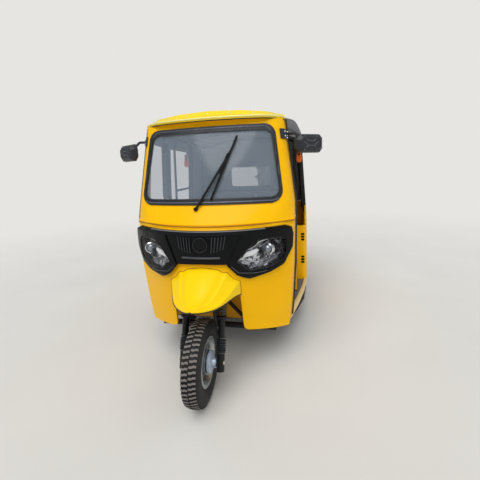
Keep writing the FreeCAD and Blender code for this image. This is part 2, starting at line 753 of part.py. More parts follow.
# Passenger cushions
bench_half = 552.0
bench_top_z = 725.0
cushion = box(-bench_half, bench_half, tub_front_y + 6, firewall_y - 140, seat_deck_z + soft_gap, bench_top_z)
cushion = cushion.makeFillet(22.0, [e for e in cushion.Edges if e.BoundBox.ZMin > seat_deck_z + 50])
write("passenger_seat_cushion", cushion)
back_low_z = bench_top_z + 3
back_rest = plate_yz([(firewall_y - 106, back_low_z, 20.0), (firewall_y - soft_gap, back_low_z, 10.0),
                      (firewall_y - soft_gap, side_top_z - 10, 0), (firewall_y + 10, 1130.0, 25.0),
                      (firewall_y - 62, 1145.0, 30.0)], -bench_half, bench_half)
back_rest = back_rest.cut(box(-600, 600, firewall_y - soft_gap, 2300, 700, side_top_z + soft_gap))
write("passenger_seat_back", back_rest)

# Cab partition with its rail and the posts of the driver's back rest
post_x = 566.0
post_half = 13.0
post_front_y = 955.0
partition_y = 985.0
partition_x = 578.0
partition_top_z = 800.0
rail_radius = 14.0
back_post_radius = 9.0
partition_sheet = plate_xz([(-partition_x, floor_top_z, 30.0), (partition_x, floor_top_z, 30.0),
                            (partition_x, partition_top_z, 10.0), (-partition_x, partition_top_z, 10.0)],
                           partition_y, partition_y + sheet)
rail_reach = post_x - post_half - soft_gap
rail_y = partition_y + sheet / 2
back_post_x = 180.0
back_post_top_z = 1130.0
partition_rail = rod((-rail_reach, rail_y, partition_top_z), (rail_reach, rail_y, partition_top_z), rail_radius)
back_posts = [rod((side * back_post_x, rail_y, partition_top_z), (side * back_post_x, rail_y, back_post_top_z),
                  back_post_radius) for side in (-1, 1)]
write("cab_partition", fused([partition_sheet, partition_rail] + back_posts))

# Driver's seat
driver_top_z = 610.0
seat_shell = box(-245, 245, 735, partition_y - 20, floor_top_z, driver_top_z)
seat_hollow = box(-231, 231, 749, partition_y - 34, floor_top_z - 1, driver_top_z - 14)
write("driver_seat_box", seat_shell.cut(seat_hollow))
driver_cushion = box(-262, 262, 700, partition_y - 22, driver_top_z + soft_gap, 712)
driver_cushion = driver_cushion.makeFillet(22.0, [e for e in driver_cushion.Edges if e.BoundBox.ZMin > 700])
write("driver_seat_cushion", driver_cushion)
rest_back_y = rail_y - back_post_radius - soft_gap
driver_back = plate_xz([(-275.0, 880.0, 40.0), (275.0, 880.0, 40.0), (260.0, 1190.0, 60.0),
                        (-260.0, 1190.0, 60.0)], rest_back_y - 62, rest_back_y)
write("driver_seat_back", driver_back)

# Dashboard: two lockers beside the column and the instrument binnacle ahead of it
locker = box(132, 520, 60, 352, shelf_z + sheet, 890)
locker = locker.common(cab_solid(shelf_z, belt_z, cab_wall + 20))
locker_mouth = box(160, 420, 322, 360, 775, 862)
locker = locker.cut(locker_mouth)
binnacle = plate_yz([(60.0, shelf_z + sheet, 0), (168.0, shelf_z + sheet, 0), (232.0, 930.0, 0),
                     (244.0, 1020.0, 12.0), (190.0, 1062.0, 12.0), (60.0, 1062.0, 0)], -95, 95)
binnacle = binnacle.common(cab_solid(shelf_z, screen_foot_z, cab_wall + 0.2))
bridge = box(-140, 140, 60, 168, shelf_z + sheet, shelf_z + sheet + 30)
bridge = bridge.common(cab_solid(shelf_z, belt_z, cab_wall + 20))
write("dashboard", fused([locker, mirrored(locker), binnacle, bridge]))

# Roof visor over the windscreen
# columns: x, front y, lip z, crown z
visor_rows = [
    (0.0, 372.0, 1712.0, 1779.0),
    (220.0, 388.0, 1712.0, 1773.0),
    (380.0, 425.0, 1712.0, 1760.0),
    (465.0, 480.0, 1711.0, 1747.0),
    (505.0, 535.0, 1708.0, 1735.0),
]


def visor_section(x, front_y, lip_z, crown_z):
    band = 0.38 * (crown_z - lip_z)
    points = [
        (front_y, lip_z),
        (front_y, lip_z + band),
        (front_y + 10, lip_z + band + 4),
        (min(front_y + 58, door_edge_y - 8), crown_z),
        (door_edge_y, crown_z + 5),
        (door_edge_y, header_z),
        (min(front_y + 30, door_edge_y - 4), header_z),
        (front_y + 8, lip_z),
    ]
    corners = [V(x, y, z) for y, z in points]
    return Part.makePolygon(corners + [corners[0]])


visor_sections = [visor_section(-x, y, lip, crown) for x, y, lip, crown in reversed(visor_rows[1:])]
visor_sections += [visor_section(*row) for row in visor_rows]
visor = Part.makeLoft(visor_sections, True, True)
visor = visor.cut(screen_frame)
visor = max(visor.Solids, key=lambda s: s.Volume)
write("roof_visor", visor)


# Canopy
def canopy_wire(y, inset, foot_z):
    """The canopy's cross-section at y, moved inwards by inset."""
    row = between(canopy_rows, y)
    foot_x, shoulder_x, shoulder_z, roof_x, roof_z, crown_z = row[1:7]
    lean = (foot_x - shoulder_x) / (shoulder_z - side_top_z)
    shoulder = V(shoulder_x - inset, y, shoulder_z)
    foot = V(shoulder.x + lean * (shoulder_z - foot_z), y, foot_z)
    drop = crown_z - roof_z
    radius = (roof_x ** 2 + drop ** 2) / (2 * drop)
    shrink = (radius - inset) / radius
    centre_z = crown_z - radius
    roof = V(roof_x * shrink, y, centre_z + (roof_z - centre_z) * shrink)
    crown = V(0, y, crown_z - inset)
    corner_x = shoulder.x - lean * (roof.z - shoulder.z)
    corner_z = roof.z - (roof_x / (roof_z - centre_z)) * (corner_x - roof.x)
    corner = V(corner_x, y, corner_z)
    turn = roof * 0.25 + corner * 0.5 + shoulder * 0.25

    def flip(p):
        return V(-p.x, p.y, p.z)

    return Part.Wire([
        Part.makeLine(flip(foot), flip(shoulder)),
        Part.Arc(flip(shoulder), flip(turn), flip(roof)).toShape(),
        Part.Arc(flip(roof), crown, roof).toShape(),
        Part.Arc(roof, turn, shoulder).toShape(),
        Part.makeLine(shoulder, foot),
        Part.makeLine(foot, flip(foot)),
    ])


def canopy_solid(y0, y1, inset, foot_z):
    stations = [y0] + [row[0] for row in canopy_rows if y0 < row[0] < y1] + [y1]
    return Part.makeLoft([canopy_wire(y, inset, foot_z) for y in stations], True, True)


canopy_rear_y = canopy_rows[-1][0]
doorway_rear_y = rear_wall_y - 570
doorway_top_z = 1612.0
window_half = 270.0
window_low_z = 1165.0
window_top_z = 1425.0
canopy_foot_z = side_top_z + soft_gap
canopy = canopy_solid(door_edge_y + soft_gap, canopy_rear_y, 0, canopy_foot_z)
canopy = canopy.cut(canopy_solid(door_edge_y - 20, canopy_rear_y - canopy_wall, canopy_wall, side_top_z - 20))
doorways = plate_yz([(300.0, 900.0, 0), (doorway_rear_y, 900.0, 0), (doorway_rear_y, doorway_top_z, 110.0),
                     (300.0, doorway_top_z, 0)], -900, 900)
# A cloth panel hangs from the canopy on the driver's right, between the door post and the slim post
panel_front_y = post_front_y
panel_rear_y = 1190.0
panel_low_z = 1140.0
side_panel = plate_yz([(panel_front_y, panel_low_z, 60.0), (panel_rear_y, panel_low_z, 12.0),
                       (panel_rear_y, doorway_top_z + 1, 0), (panel_front_y, doorway_top_z + 1, 0)], -901, 0)
doorways = doorways.cut(side_panel)
window_points = [(-window_half, window_low_z), (window_half, window_low_z),
                 (window_half, window_top_z), (-window_half, window_top_z)]
window_hole = plate_xz([(x, z, 45.0) for x, z in window_points], 2200, 2400)
canopy = canopy.cut([doorways, window_hole])
canopy = max(canopy.Solids, key=lambda s: s.Volume)
write("canopy", canopy)
pane_lap = 12.0
pane_points = [(math.copysign(abs(x) + pane_lap, x), z + math.copysign(pane_lap, z - 1300))
               for x, z in window_points]
pane = plate_xz([(x, z, 50.0) for x, z in pane_points], canopy_rear_y - canopy_wall - soft_gap - 3,
                canopy_rear_y - canopy_wall - soft_gap)
write("rear_window", pane)

# Tubes that carry the canopy: hoops, shoulder tubes and door posts
hoop_gap = 1.0
hoop_depth = 24.0
hoop_width = 26.0
# columns: y, foot z
hoop_rows = [
    (post_front_y, 1560.0),
    (doorway_rear_y + 6, side_top_z - 70),
    (rear_wall_y - 155, side_top_z - 70),
]


def hoop(y, foot_z):
    outer = canopy_solid(y, y + hoop_width, canopy_wall + hoop_gap, foot_z)
    inner = canopy_solid(y - 5, y + hoop_width + 5, canopy_wall + hoop_gap + hoop_depth, foot_z - 10)
    return outer.cut(inner)


# columns: x, y, z along the shoulder tube
shoulder_points = [
    (470.5, door_edge_y - 14, 1684.0),
    (562.0, post_front_y + 13, 1703.0),
    (594.0, doorway_rear_y + 19, 1703.0),
    (575.0, rear_wall_y - 142, 1676.0),
]
frame_tube_radius = 11.0
shoulders = [pipe([(side * x, y, z) for x, y, z in shoulder_points], 150.0, frame_tube_radius)
             for side in (-1, 1)]
post_top_z = 1640.0
posts = [box(side * post_x - post_half, side * post_x + post_half, post_front_y, post_front_y + 2 * post_half,
             floor_top_z + soft_gap, post_top_z) for side in (-1, 1)]
# A slim post and a safety bar close the doorway on the driver's right
slim_post_y = tub_front_y - frame_tube_radius - soft_gap
# columns: x, y, z
slim_post_points = [
    (-636.0, slim_post_y, floor_top_z + soft_gap),
    (-600.0, slim_post_y, 1600.0),
    (-575.0, slim_post_y, 1705.0),
]
safety_bar_z = 1200.0
slim_post = pipe(slim_post_points, 60.0, frame_tube_radius)
safety_bar = rod((-611, slim_post_y, safety_bar_z), (-651, doorway_rear_y + 14, safety_bar_z),
                 frame_tube_radius)
hoops = [hoop(*row) for row in hoop_rows]
canopy_frame = fused(hoops + shoulders + posts + [slim_post, safety_bar])
canopy_frame = canopy_frame.cut([quarter, mirrored(quarter), tub_ring])
canopy_frame = max(canopy_frame.Solids, key=lambda s: s.Volume)
write("canopy_frame", canopy_frame)

# Mirrors: a faceted shell on a bracket bolted to each pillar
mirror_width = 213.0
mirror_height = 124.0
mirror_depth = 44.0
mirror_toe_deg = 31.0
mirror_x = 652.0
mirror_y = 522.0
mirror_z = 1538.0


def mirror_ring(y, shrink):
    half_w = mirror_width / 2 - shrink
    half_h = mirror_height / 2 - shrink
    points = [(-half_w, half_h * 0.45), (-half_w * 0.72, half_h), (half_w * 0.80, half_h),
              (half_w, half_h * 0.6), (half_w, -half_h * 0.6), (half_w * 0.84, -half_h),
              (-half_w * 0.66, -half_h), (-half_w, -half_h * 0.5)]
    corners = [V(x, y, z) for x, z in points]
    return Part.makePolygon(corners + [corners[0]])


shell = Part.makeLoft([mirror_ring(-mirror_depth, 26.0), mirror_ring(-mirror_depth * 0.55, 6.0),
                       mirror_ring(0, 0.0)], True, True)
shell = shell.cut(Part.makeLoft([mirror_ring(-3.0, 6.0), mirror_ring(1.0, 6.0)], True, True))
shell.rotate(V(0, 0, 0), V(0, 0, 1), mirror_toe_deg)
shell.translate(V(mirror_x, mirror_y, mirror_z))
bracket_x = 509.0
bracket = fused([
    box(bracket_x, bracket_x + 8, 524, 556, 1566, 1640),
    pipe([(bracket_x + 4, 540, 1612), (bracket_x + 62, 520, 1612), (618, 492, 1560)], 18.0, 9.0),
])
mirror_left = fused([shell, bracket]).cut(screen_frame)
write("mirror_left", max(mirror_left.Solids, key=lambda s: s.Volume))
write("mirror_right", mirrored(max(mirror_left.Solids, key=lambda s: s.Volume)))

# Wiper: pivot on the cowl, arm and blade standing off the glass
# columns: x, z, stand-off
wiper_pivot = (-60.0, 1143.0, 12.0)
wiper_elbow = (115.0, 1430.0, 20.0)
blade_rows = [
    (34.0, 1196.0, 11.0),
    (88.0, 1330.0, 11.0),
    (142.0, 1466.0, 11.0),
    (197.0, 1603.0, 11.0),
]


def off_screen(x, z, stand_off):
    return (x, cab_front_y(x, z, -stand_off), z)


pivot_foot = (wiper_pivot[0], cab_front_y(wiper_pivot[0], wiper_pivot[1], -0.2), wiper_pivot[1])
pivot = rod(pivot_foot, off_screen(wiper_pivot[0], wiper_pivot[1], 24.0), 13.0)
pivot = pivot.cut(cab_solid(belt_z, header_z, 0))
arm = rod(off_screen(wiper_pivot[0], wiper_pivot[1], 16.0), off_screen(*wiper_elbow), 6.5)
elbow_tie = rod(off_screen(*wiper_elbow), off_screen(wiper_elbow[0] + 8, wiper_elbow[1] - 30, 10.0), 6.0)
blade_spots = [off_screen(*row) for row in blade_rows]
blade = [rod(a, b, 5.5) for a, b in zip(blade_spots, blade_spots[1:])]
knobs = [Part.makeSphere(5.5, V(*spot)) for spot in blade_spots[1:-1]]
wiper = fused([pivot, arm, elbow_tie] + blade + knobs)
wiper = wiper.cut([cab_solid(belt_z, header_z, 0), seal])
write("wiper", max(wiper.Solids, key=lambda s: s.Volume))


# Wheels
def ring_about_x(points, x, y, z):
    """A solid of revolution about a crosswise axis from a closed (x, radius) outline."""
    wire = rounded_corners([(V(u, 0, v), r) for u, v, r in points], True)
    solid = Part.Face(wire).revolve(V(0, 0, 0), V(1, 0, 0), 360)
    solid.translate(V(x, y, z))
    return solid


seat_half = flange_half_width - flange_width
# columns: x, radius, corner radius
tyre_half = [
    (-seat_half, bead_radius, 0),
    (-seat_half, flange_radius + 0.5, 0),
    (-tyre_half_width, 182.0, 0),
    (-tyre_half_width + 3, 218.0, 0),
    (-tyre_half_width + 20, 240.0, 0),
    (-14.0, tyre_radius, 0),
]
tyre_outline = tyre_half + [(-u, v, r) for u, v, r in reversed(tyre_half)]
rim_half = [
    (-flange_half_width, flange_radius, 0),
    (-seat_half, flange_radius, 0),
    (-seat_half, bead_radius, 0),
    (-20.0, 113.0, 0),
]
rim_inner = [
    (-22.0, 113.0 - rim_sheet, 0),
    (-flange_half_width, bead_radius - rim_sheet, 0),
]
rim_outline = rim_half + [(-u, v, r) for u, v, r in reversed(rim_half)]
rim_outline += [(-u, v, r) for u, v, r in rim_inner[::-1]] + rim_inner


def wheel(x, y, facing):
    """Tyre and rim at a wheel centre; facing is the side that the drum opens to."""
    tyre = ring_about_x(tyre_outline, x, y, tyre_radius)
    rim = ring_about_x(rim_outline, x, y, tyre_radius)
    web = ring_about_x([(-4.0, drum_radius - 8, 0), (4.0, drum_radius - 8, 0), (4.0, 110.0, 0),
                        (-4.0, 110.0, 0)], x, y, tyre_radius)
    drum_open = drum_half_width - 6
    drum = ring_about_x([(-facing * drum_half_width, 0.0, 0), (-facing * drum_half_width, 30.0, 0),
                         (-facing * 22.0, 40.0, 0), (-facing * 22.0, drum_radius, 0),
                         (facing * drum_open, drum_radius, 0), (facing * drum_open, drum_radius - 8, 0),
                         (-facing * 10.0, drum_radius - 8, 0), (-facing * 10.0, 0.0, 0)],
                        x, y, tyre_radius)
    bolts = []
    for i in range(wheel_bolts):
        angle = math.radians(30 + 360 / wheel_bolts * i)
        by = y + wheel_bolt_circle * math.cos(angle)
        bz = tyre_radius + wheel_bolt_circle * math.sin(angle)
        bolts.append(Part.makeCylinder(6.0, 22.0, V(x - 11, by, bz), V(1, 0, 0)))
    return tyre, fused([rim, web, drum] + bolts)


front_tyre, front_rim = wheel(0.0, 0.0, 1)
front_rim = front_rim.cut(rod((-80, 0, tyre_radius), (80, 0, tyre_radius), front_axle_radius + run_gap))
write("front_tyre", front_tyre)
write("front_rim", front_rim)
for side, name in ((1, "left"), (-1, "right")):
    tyre, rim = wheel(side * rear_track / 2, rear_axle_y, -side)
    write("rear_tyre_" + name, tyre)
    write("rear_rim_" + name, rim)


# Fork, handlebar and front axle, built along the steering axis
def along(points):
    """(x, back, rise) points in the steering frame as points of the vehicle."""
    return [axis_point(rise, back, x) for x, back, rise in points]


def leg_rod(side, low, high, radius):
    x = side * fork_half_gauge
    start, end = along([(x, -fork_offset, low), (x, -fork_offset, high)])
    return rod(start, end, radius)


leg_top = 415.0
yoke_low = 352.0
yoke_high = 380.0
spring_low = 262.0
boot_low = 62.0
boot_high = 132.0
boot_folds = 4
boot_pitch = (boot_high - boot_low) / boot_folds
lug_low = -48.0
spring_radius = 30.0
legs = []
for side in (-1, 1):
    legs.append(leg_rod(side, boot_high, leg_top, fork_tube_radius))
    legs.append(leg_rod(side, spring_low - 12, spring_low, spring_radius + 3))
    legs.append(leg_rod(side, lug_low, boot_low, 25.0))
    for fold in range(boot_folds):
        low = boot_low + fold * boot_pitch
        legs.append(leg_rod(side, low, low + boot_pitch * 0.6, 27.0))
        legs.append(leg_rod(side, low + boot_pitch * 0.6, low + boot_pitch, 23.5))
yoke_corners = along([(-145, -62, yoke_low), (145, -62, yoke_low), (40, 24, yoke_low), (-40, 24, yoke_low)])
rise_vector = V(*axis_point(yoke_high)) - V(*axis_point(yoke_low))
yoke = Part.Face(Part.makePolygon([V(*p) for p in yoke_corners + yoke_corners[:1]])).extrude(rise_vector)
stem = rod(axis_point(yoke_low), axis_point(stem_top), stem_radius)
axle_bore = rod((-200, 0, tyre_radius), (200, 0, tyre_radius), front_axle_radius + 0.1)
fork = fused(legs + [yoke, stem]).cut(axle_bore)
write("front_fork", fork)

# Fork springs as stacked coils around the upper tubes
coil_count = 6
spring_high = yoke_low - 1
coil_pitch = (spring_high - spring_low) / coil_count
springs = []
for side in (-1, 1):
    outline = [(fork_tube_radius + run_gap, 0.0)]
    for i in range(coil_count):
        low = i * coil_pitch
        outline += [(spring_radius - 6, low), (spring_radius, low + coil_pitch * 0.5)]
    outline += [(spring_radius - 6, spring_high - spring_low)]
    outline += [(fork_tube_radius + run_gap, spring_high - spring_low)]
    corners = [V(r, 0, z) for r, z in outline]
    spring = Part.Face(Part.makePolygon(corners + corners[:1])).revolve(V(0, 0, 0), V(0, 0, 1), 360)
    spring.rotate(V(0, 0, 0), V(1, 0, 0), -rake_deg)
    spring.translate(V(*along([(side * fork_half_gauge, -fork_offset, spring_low + 0.5)])[0]))
    springs.append(spring)
write("fork_springs", *springs)

# Axle, its nuts, and the brake plate that closes the drum
plate_radius = drum_radius - 9
brake_plate = ring_about_x([(0.0, front_axle_radius, 0), (0.0, plate_radius, 0), (14.0, plate_radius, 0),
                            (20.0, plate_radius - 14, 0), (24.0, 24.0, 0), (42.0, 20.0, 0),
                            (42.0, front_axle_radius, 0)], drum_half_width, 0, tyre_radius)
axle = rod((-front_axle_half, 0, tyre_radius), (front_axle_half, 0, tyre_radius), front_axle_radius)
spacer = rod((-88, 0, tyre_radius), (-drum_half_width - 2, 0, tyre_radius), 18.0)
lever = pipe([(72, -2, 216), (76, 22, 196), (76, 46, 190)], 12.0, 5.0)
write("front_axle", fused([brake_plate, axle, spacer, lever]))

bar_points = along([
    (-grip_end_x, grip_end_back, grip_end_rise),
    (-150, 100, bar_rise - 1),
    (-70, bar_back, bar_rise),
    (70, bar_back, bar_rise),
    (150, 100, bar_rise - 1),
    (grip_end_x, grip_end_back, grip_end_rise),
])
bar = pipe(bar_points, 40.0, bar_radius)
grips = []
for end, inner in ((0, 1), (5, 4)):
    outer_end = V(*bar_points[end])
    inner_end = outer_end + (V(*bar_points[inner]) - outer_end) * 0.75
    grips.append(rod(tuple(outer_end), tuple(inner_end), grip_radius))
clamp = rod(*along([(0, -18, stem_top + 2), (0, bar_back, bar_rise)]), 15.0)
clamp_ring = rod(*along([(0, 0, stem_top - 30), (0, 0, stem_top + 16)]), 24.0)
handlebar = fused([bar] + grips + [clamp, clamp_ring])
handlebar = handlebar.cut(rod(axis_point(yoke_low), axis_point(stem_top), stem_radius))
write("handlebar", handlebar)

# Engine block, a plain form between the rails on two feet
engine_half = 170.0
engine_low_z = 235.0
engine_top_z = 560.0
engine_front_y = rear_axle_y - 240
engine_back_y = rear_axle_y + 130
engine = box(-engine_half, engine_half, engine_front_y, engine_back_y, engine_low_z, engine_top_z)
engine = engine.makeFillet(25.0, [e for e in engine.Edges if e.Length > 330])
foot_reach = rail_x - rail_half - soft_gap
engine_feet = box(-foot_reach, foot_reach, rear_axle_y - 120, rear_axle_y - 50,
                  tail_rail_low_z + 10, tail_rail_top_z - 6)
write("engine_block", fused([engine, engine_feet]))

# Trailing arms with their hub carriers and spring legs, and the shafts that drive the wheels
hub_face_x = rear_track / 2 - drum_half_width
carrier_x = hub_face_x + 5
carrier_depth = 34.0
spindle_length = rear_track / 2 + 10 - soft_gap - carrier_x
carrier = ring_about_x([(-carrier_depth, 0.0, 0), (-carrier_depth, 30.0, 0), (-12.0, plate_radius, 0),
                        (0.0, plate_radius, 0), (0.0, 15.0, 0), (spindle_length, 15.0, 0),
                        (spindle_length, 0.0, 0)], carrier_x, rear_axle_y, tyre_radius)
arm_front_y = rear_axle_y - 400
arm_front_z = 296.0
# columns: x, y, z
arm_points = [
    (rail_x + rail_half + 24, arm_front_y, arm_front_z),
    (400.0, rear_axle_y - 280, 286.0),
    (460.0, rear_axle_y - 120, 262.0),
    (carrier_x - 20, rear_axle_y - 40, tyre_radius),
]
swing_arm = pipe(arm_points, 60.0, 19.0)
pivot_tube = rod((rail_x + rail_half + soft_gap, arm_front_y, arm_front_z),
                 (rail_x + rail_half + 50, arm_front_y, arm_front_z), 24.0)
damper_x = 416.0
damper_y = rear_axle_y - 70
damper_foot_z = 275.0
damper = rod((damper_x, damper_y, damper_foot_z), (damper_x, damper_y, seat_deck_z - sheet - soft_gap), 14.0)
damper_spring = rod((damper_x, damper_y, 330), (damper_x, damper_y, 520), 30.0)
damper_eye = rod((damper_x, damper_y, damper_foot_z), (485, damper_y, 254), 12.0)
rear_leg = fused([carrier, swing_arm, pivot_tube, damper, damper_spring, damper_eye])
write("rear_suspension", rear_leg, mirrored(rear_leg))
shaft_radius = 13.0
shaft = rod((engine_half + soft_gap, rear_axle_y, tyre_radius),
            (carrier_x - carrier_depth - soft_gap, rear_axle_y, tyre_radius), shaft_radius)
write("axle_shafts", shaft, mirrored(shaft))

# Silencer under the right rear, hung from the rail
silencer_x = -340.0
silencer_z = 216.0
silencer_radius = 44.0
silencer_front_y = rear_axle_y + 50
silencer_back_y = rear_axle_y + 310
exhaust_y = rear_axle_y + 76
silencer = rod((silencer_x, silencer_front_y, silencer_z), (silencer_x, silencer_back_y, silencer_z),
               silencer_radius)
# columns: x, y, z
exhaust_points = [
    (-120.0, exhaust_y, engine_low_z - soft_gap),
    (-120.0, exhaust_y, silencer_z - 8),
    (silencer_x, exhaust_y, silencer_z - 8),
]
exhaust_pipe = pipe(exhaust_points, 18.0, 12.0)
hanger_y = rear_axle_y + 170
hanger = box(silencer_x + 28, -rail_x - 18, hanger_y, hanger_y + 30, silencer_z, tail_rail_low_z - soft_gap)
write("silencer", fused([silencer, exhaust_pipe, hanger]))
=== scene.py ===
import bmesh
import bpy
import math
from mathutils import Matrix, Vector


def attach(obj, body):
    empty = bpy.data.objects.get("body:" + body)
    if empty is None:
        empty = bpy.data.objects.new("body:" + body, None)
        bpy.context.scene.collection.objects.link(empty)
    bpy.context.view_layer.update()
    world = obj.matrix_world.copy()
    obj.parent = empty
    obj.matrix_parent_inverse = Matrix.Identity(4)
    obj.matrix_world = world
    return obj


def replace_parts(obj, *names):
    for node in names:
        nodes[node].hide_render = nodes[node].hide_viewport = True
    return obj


# Passenger auto rickshaw, dressed over its steel frame. The front faces -Y, the vehicle's left is +X.
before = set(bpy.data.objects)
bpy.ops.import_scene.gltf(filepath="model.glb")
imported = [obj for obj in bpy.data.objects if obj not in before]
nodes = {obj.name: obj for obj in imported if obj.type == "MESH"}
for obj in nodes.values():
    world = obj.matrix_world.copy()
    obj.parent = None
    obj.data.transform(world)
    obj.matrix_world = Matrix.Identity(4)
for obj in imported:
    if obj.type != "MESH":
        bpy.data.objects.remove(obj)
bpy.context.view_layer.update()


# Studio: a pale floor that keeps the vehicle's shadow and fades into a pale background, one wide soft
# light from above and ahead, and an even sky.
# The camera stands ahead of the left front corner at eye height and looks slightly down.
def linear(code):
    """An sRGB hex colour as a linear colour."""
    parts = [int(code[i:i + 2], 16) / 255 for i in (1, 3, 5)]
    return tuple(c / 12.92 if c <= 0.04045 else ((c + 0.055) / 1.055) ** 2.4 for c in parts) + (1.0,)


def node(tree, kind, settings=None, inputs=None, links=None):
    """Adds one node with its settings, input values and links from other sockets."""
    made = tree.nodes.new(kind)
    for name, value in (settings or {}).items():
        setattr(made, name, value)
    for name, value in (inputs or {}).items():
        made.inputs[name].default_value = value
    for name, source in (links or {}).items():
        tree.links.new(source, made.inputs[name])
    return made


def blank(name):
    """A new material with its tree, its shader and the object coordinates."""
    material = bpy.data.materials.new(name)
    material.use_nodes = True
    tree = material.node_tree
    coords = node(tree, "ShaderNodeTexCoord")
    return material, tree, tree.nodes["Principled BSDF"], coords.outputs["Object"]


def gloss(shader, **values):
    """Sets constants on the shader's own sockets."""
    for key, value in values.items():
        shader.inputs[key.replace("_", " ").title().replace("Ior", "IOR")].default_value = value


def feed(tree, shader, **sources):
    """Links patterns to the shader's sockets."""
    for key, source in sources.items():
        tree.links.new(source, shader.inputs[key.replace("_", " ").title()])


backdrop_grey = linear("#E6E5E2")


def seen_directly(tree):
    """1 for what the camera sees, also through glass."""
    ray = node(tree, "ShaderNodeLightPath")
    return node(tree, "ShaderNodeMath", {"operation": "MAXIMUM"},
                links={0: ray.outputs["Is Camera Ray"], 1: ray.outputs["Is Transmission Ray"]}).outputs[0]


def added(primitive, **settings):
    """A new mesh primitive, as the only piece selected."""
    bpy.ops.object.select_all(action="DESELECT")
    primitive(**settings)
    return bpy.context.object


floor = added(bpy.ops.mesh.primitive_plane_add, size=60, location=(0, 0, -0.0005))
floor.name = "studio_floor"
concrete, tree, shader, place = blank("pale_floor")
mottle = node(tree, "ShaderNodeTexNoise", inputs={"Scale": 1.2, "Detail": 6.0}, links={"Vector": place})
tone = node(tree, "ShaderNodeMix", {"data_type": "RGBA"}, {6: linear("#D9D7D1"), 7: linear("#E4E2DD")},
            {0: mottle.outputs["Fac"]})
feed(tree, shader, base_color=tone.outputs[2])
gloss(shader, roughness=0.8, specular_ior_level=0.1)
away = node(tree, "ShaderNodeVectorMath", {"operation": "LENGTH"}, links={0: place})
far = node(tree, "ShaderNodeMapRange", {"interpolation_type": "SMOOTHSTEP"},
           {"From Min": 2.6, "From Max": 8.0}, {"Value": away.outputs["Value"]})
share = node(tree, "ShaderNodeMath", {"operation": "MULTIPLY"}, links={0: far.outputs["Result"],
                                                                      1: seen_directly(tree)})
backdrop = node(tree, "ShaderNodeEmission", inputs={"Color": backdrop_grey, "Strength": 1.0})
faded = node(tree, "ShaderNodeMixShader", links={0: share.outputs[0], 1: shader.outputs[0],
                                                2: backdrop.outputs[0]})
tree.links.new(faded.outputs[0], tree.nodes["Material Output"].inputs["Surface"])
floor.data.materials.append(concrete)

world = bpy.data.worlds.new("studio")
bpy.context.scene.world = world
world.use_nodes = True
sky = world.node_tree
sky.nodes.clear()
lit = node(sky, "ShaderNodeBackground", inputs={"Color": linear("#F2F4F8"), "Strength": 0.43})
shown = node(sky, "ShaderNodeBackground", inputs={"Color": backdrop_grey, "Strength": 1.0})
mixed = node(sky, "ShaderNodeMixShader", links={0: seen_directly(sky), 1: lit.outputs[0],
                                               2: shown.outputs[0]})
node(sky, "ShaderNodeOutputWorld", links={"Surface": mixed.outputs[0]})

# columns: name, direction towards the light, strength, width of its disc in degrees
lamps = [
    ("key", (-0.12, -0.80, 1.25), 2.1, 50),
    ("fill", (0.95, -0.35, 0.35), 0.35, 70),
]
for name, towards, strength, width in lamps:
    lamp = bpy.data.lights.new(name, "SUN")
    lamp.energy = strength
    lamp.angle = math.radians(width)
    holder = bpy.data.objects.new(name, lamp)
    bpy.context.scene.collection.objects.link(holder)
    holder.rotation_euler = Vector(towards).to_track_quat("Z", "Y").to_euler()

turn, tip, lean = math.radians(10.75), math.radians(8.46), math.radians(-2.29)
ahead = Vector((-math.sin(turn), math.cos(turn), 0))
side = Vector((math.cos(turn), math.sin(turn), 0))
up = Vector((0, 0, 1))
view = ahead * math.cos(tip) - up * math.sin(tip)
over = ahead * math.sin(tip) + up * math.cos(tip)
right = side * math.cos(lean) + over * math.sin(lean)
top = over * math.cos(lean) - side * math.sin(lean)
camera_data = bpy.data.cameras.new("camera")
camera_data.lens = 21.375
camera_data.sensor_width = 36.0
camera_data.shift_y = -0.0552
camera = bpy.data.objects.new("camera", camera_data)
camera.matrix_world = Matrix.Translation((0.554, -2.563, 1.372)) @ Matrix(
    (right, top, -view)).transposed().to_4x4()
bpy.context.scene.collection.objects.link(camera)
bpy.context.scene.camera = camera
bpy.context.scene.view_settings.view_transform = "Standard"


# Chassis: box rails with cross members, neck and steering head, welded up and sprayed with satin black.
# Guard pipes and rear bumper are bent tubes in a glossier black; sills are pressed strips in pale yellow.
# Broad patches in the blacks keep the sprayed steel from looking flat.
def finish(name, light, dark, patch_mm, grain_mm, roughness, bump, **values):
    """A finish whose colour drifts between two shades in patches, with a fine grain in its surface."""
    material, tree, shader, place = blank(name)
    patches = node(tree, "ShaderNodeTexNoise", inputs={"Scale": 1000 / patch_mm, "Detail": 5.0,
                                                       "Roughness": 0.6}, links={"Vector": place})
    shade = node(tree, "ShaderNodeMix", {"data_type": "RGBA"},
                 {6: linear(dark), 7: linear(light)}, {0: patches.outputs["Fac"]})
    wear = node(tree, "ShaderNodeMapRange", inputs={"From Min": 0.3, "From Max": 0.7,
                                                    "To Min": roughness * 0.8, "To Max": roughness * 1.2},
                links={"Value": patches.outputs["Fac"]})
    grain = node(tree, "ShaderNodeTexNoise", inputs={"Scale": 1000 / grain_mm, "Detail": 2.0},
                 links={"Vector": place})
    relief = node(tree, "ShaderNodeBump", inputs={"Strength": bump, "Distance": grain_mm / 4000},
                  links={"Height": grain.outputs["Fac"]})
    feed(tree, shader, base_color=shade.outputs[2], roughness=wear.outputs["Result"],
         normal=relief.outputs["Normal"])
    gloss(shader, **values)
    return material


def wear_finish(material, *names):
    """Gives CAD nodes a finish."""
    for name in names:
        for slot in nodes[name].material_slots:
            slot.material = material


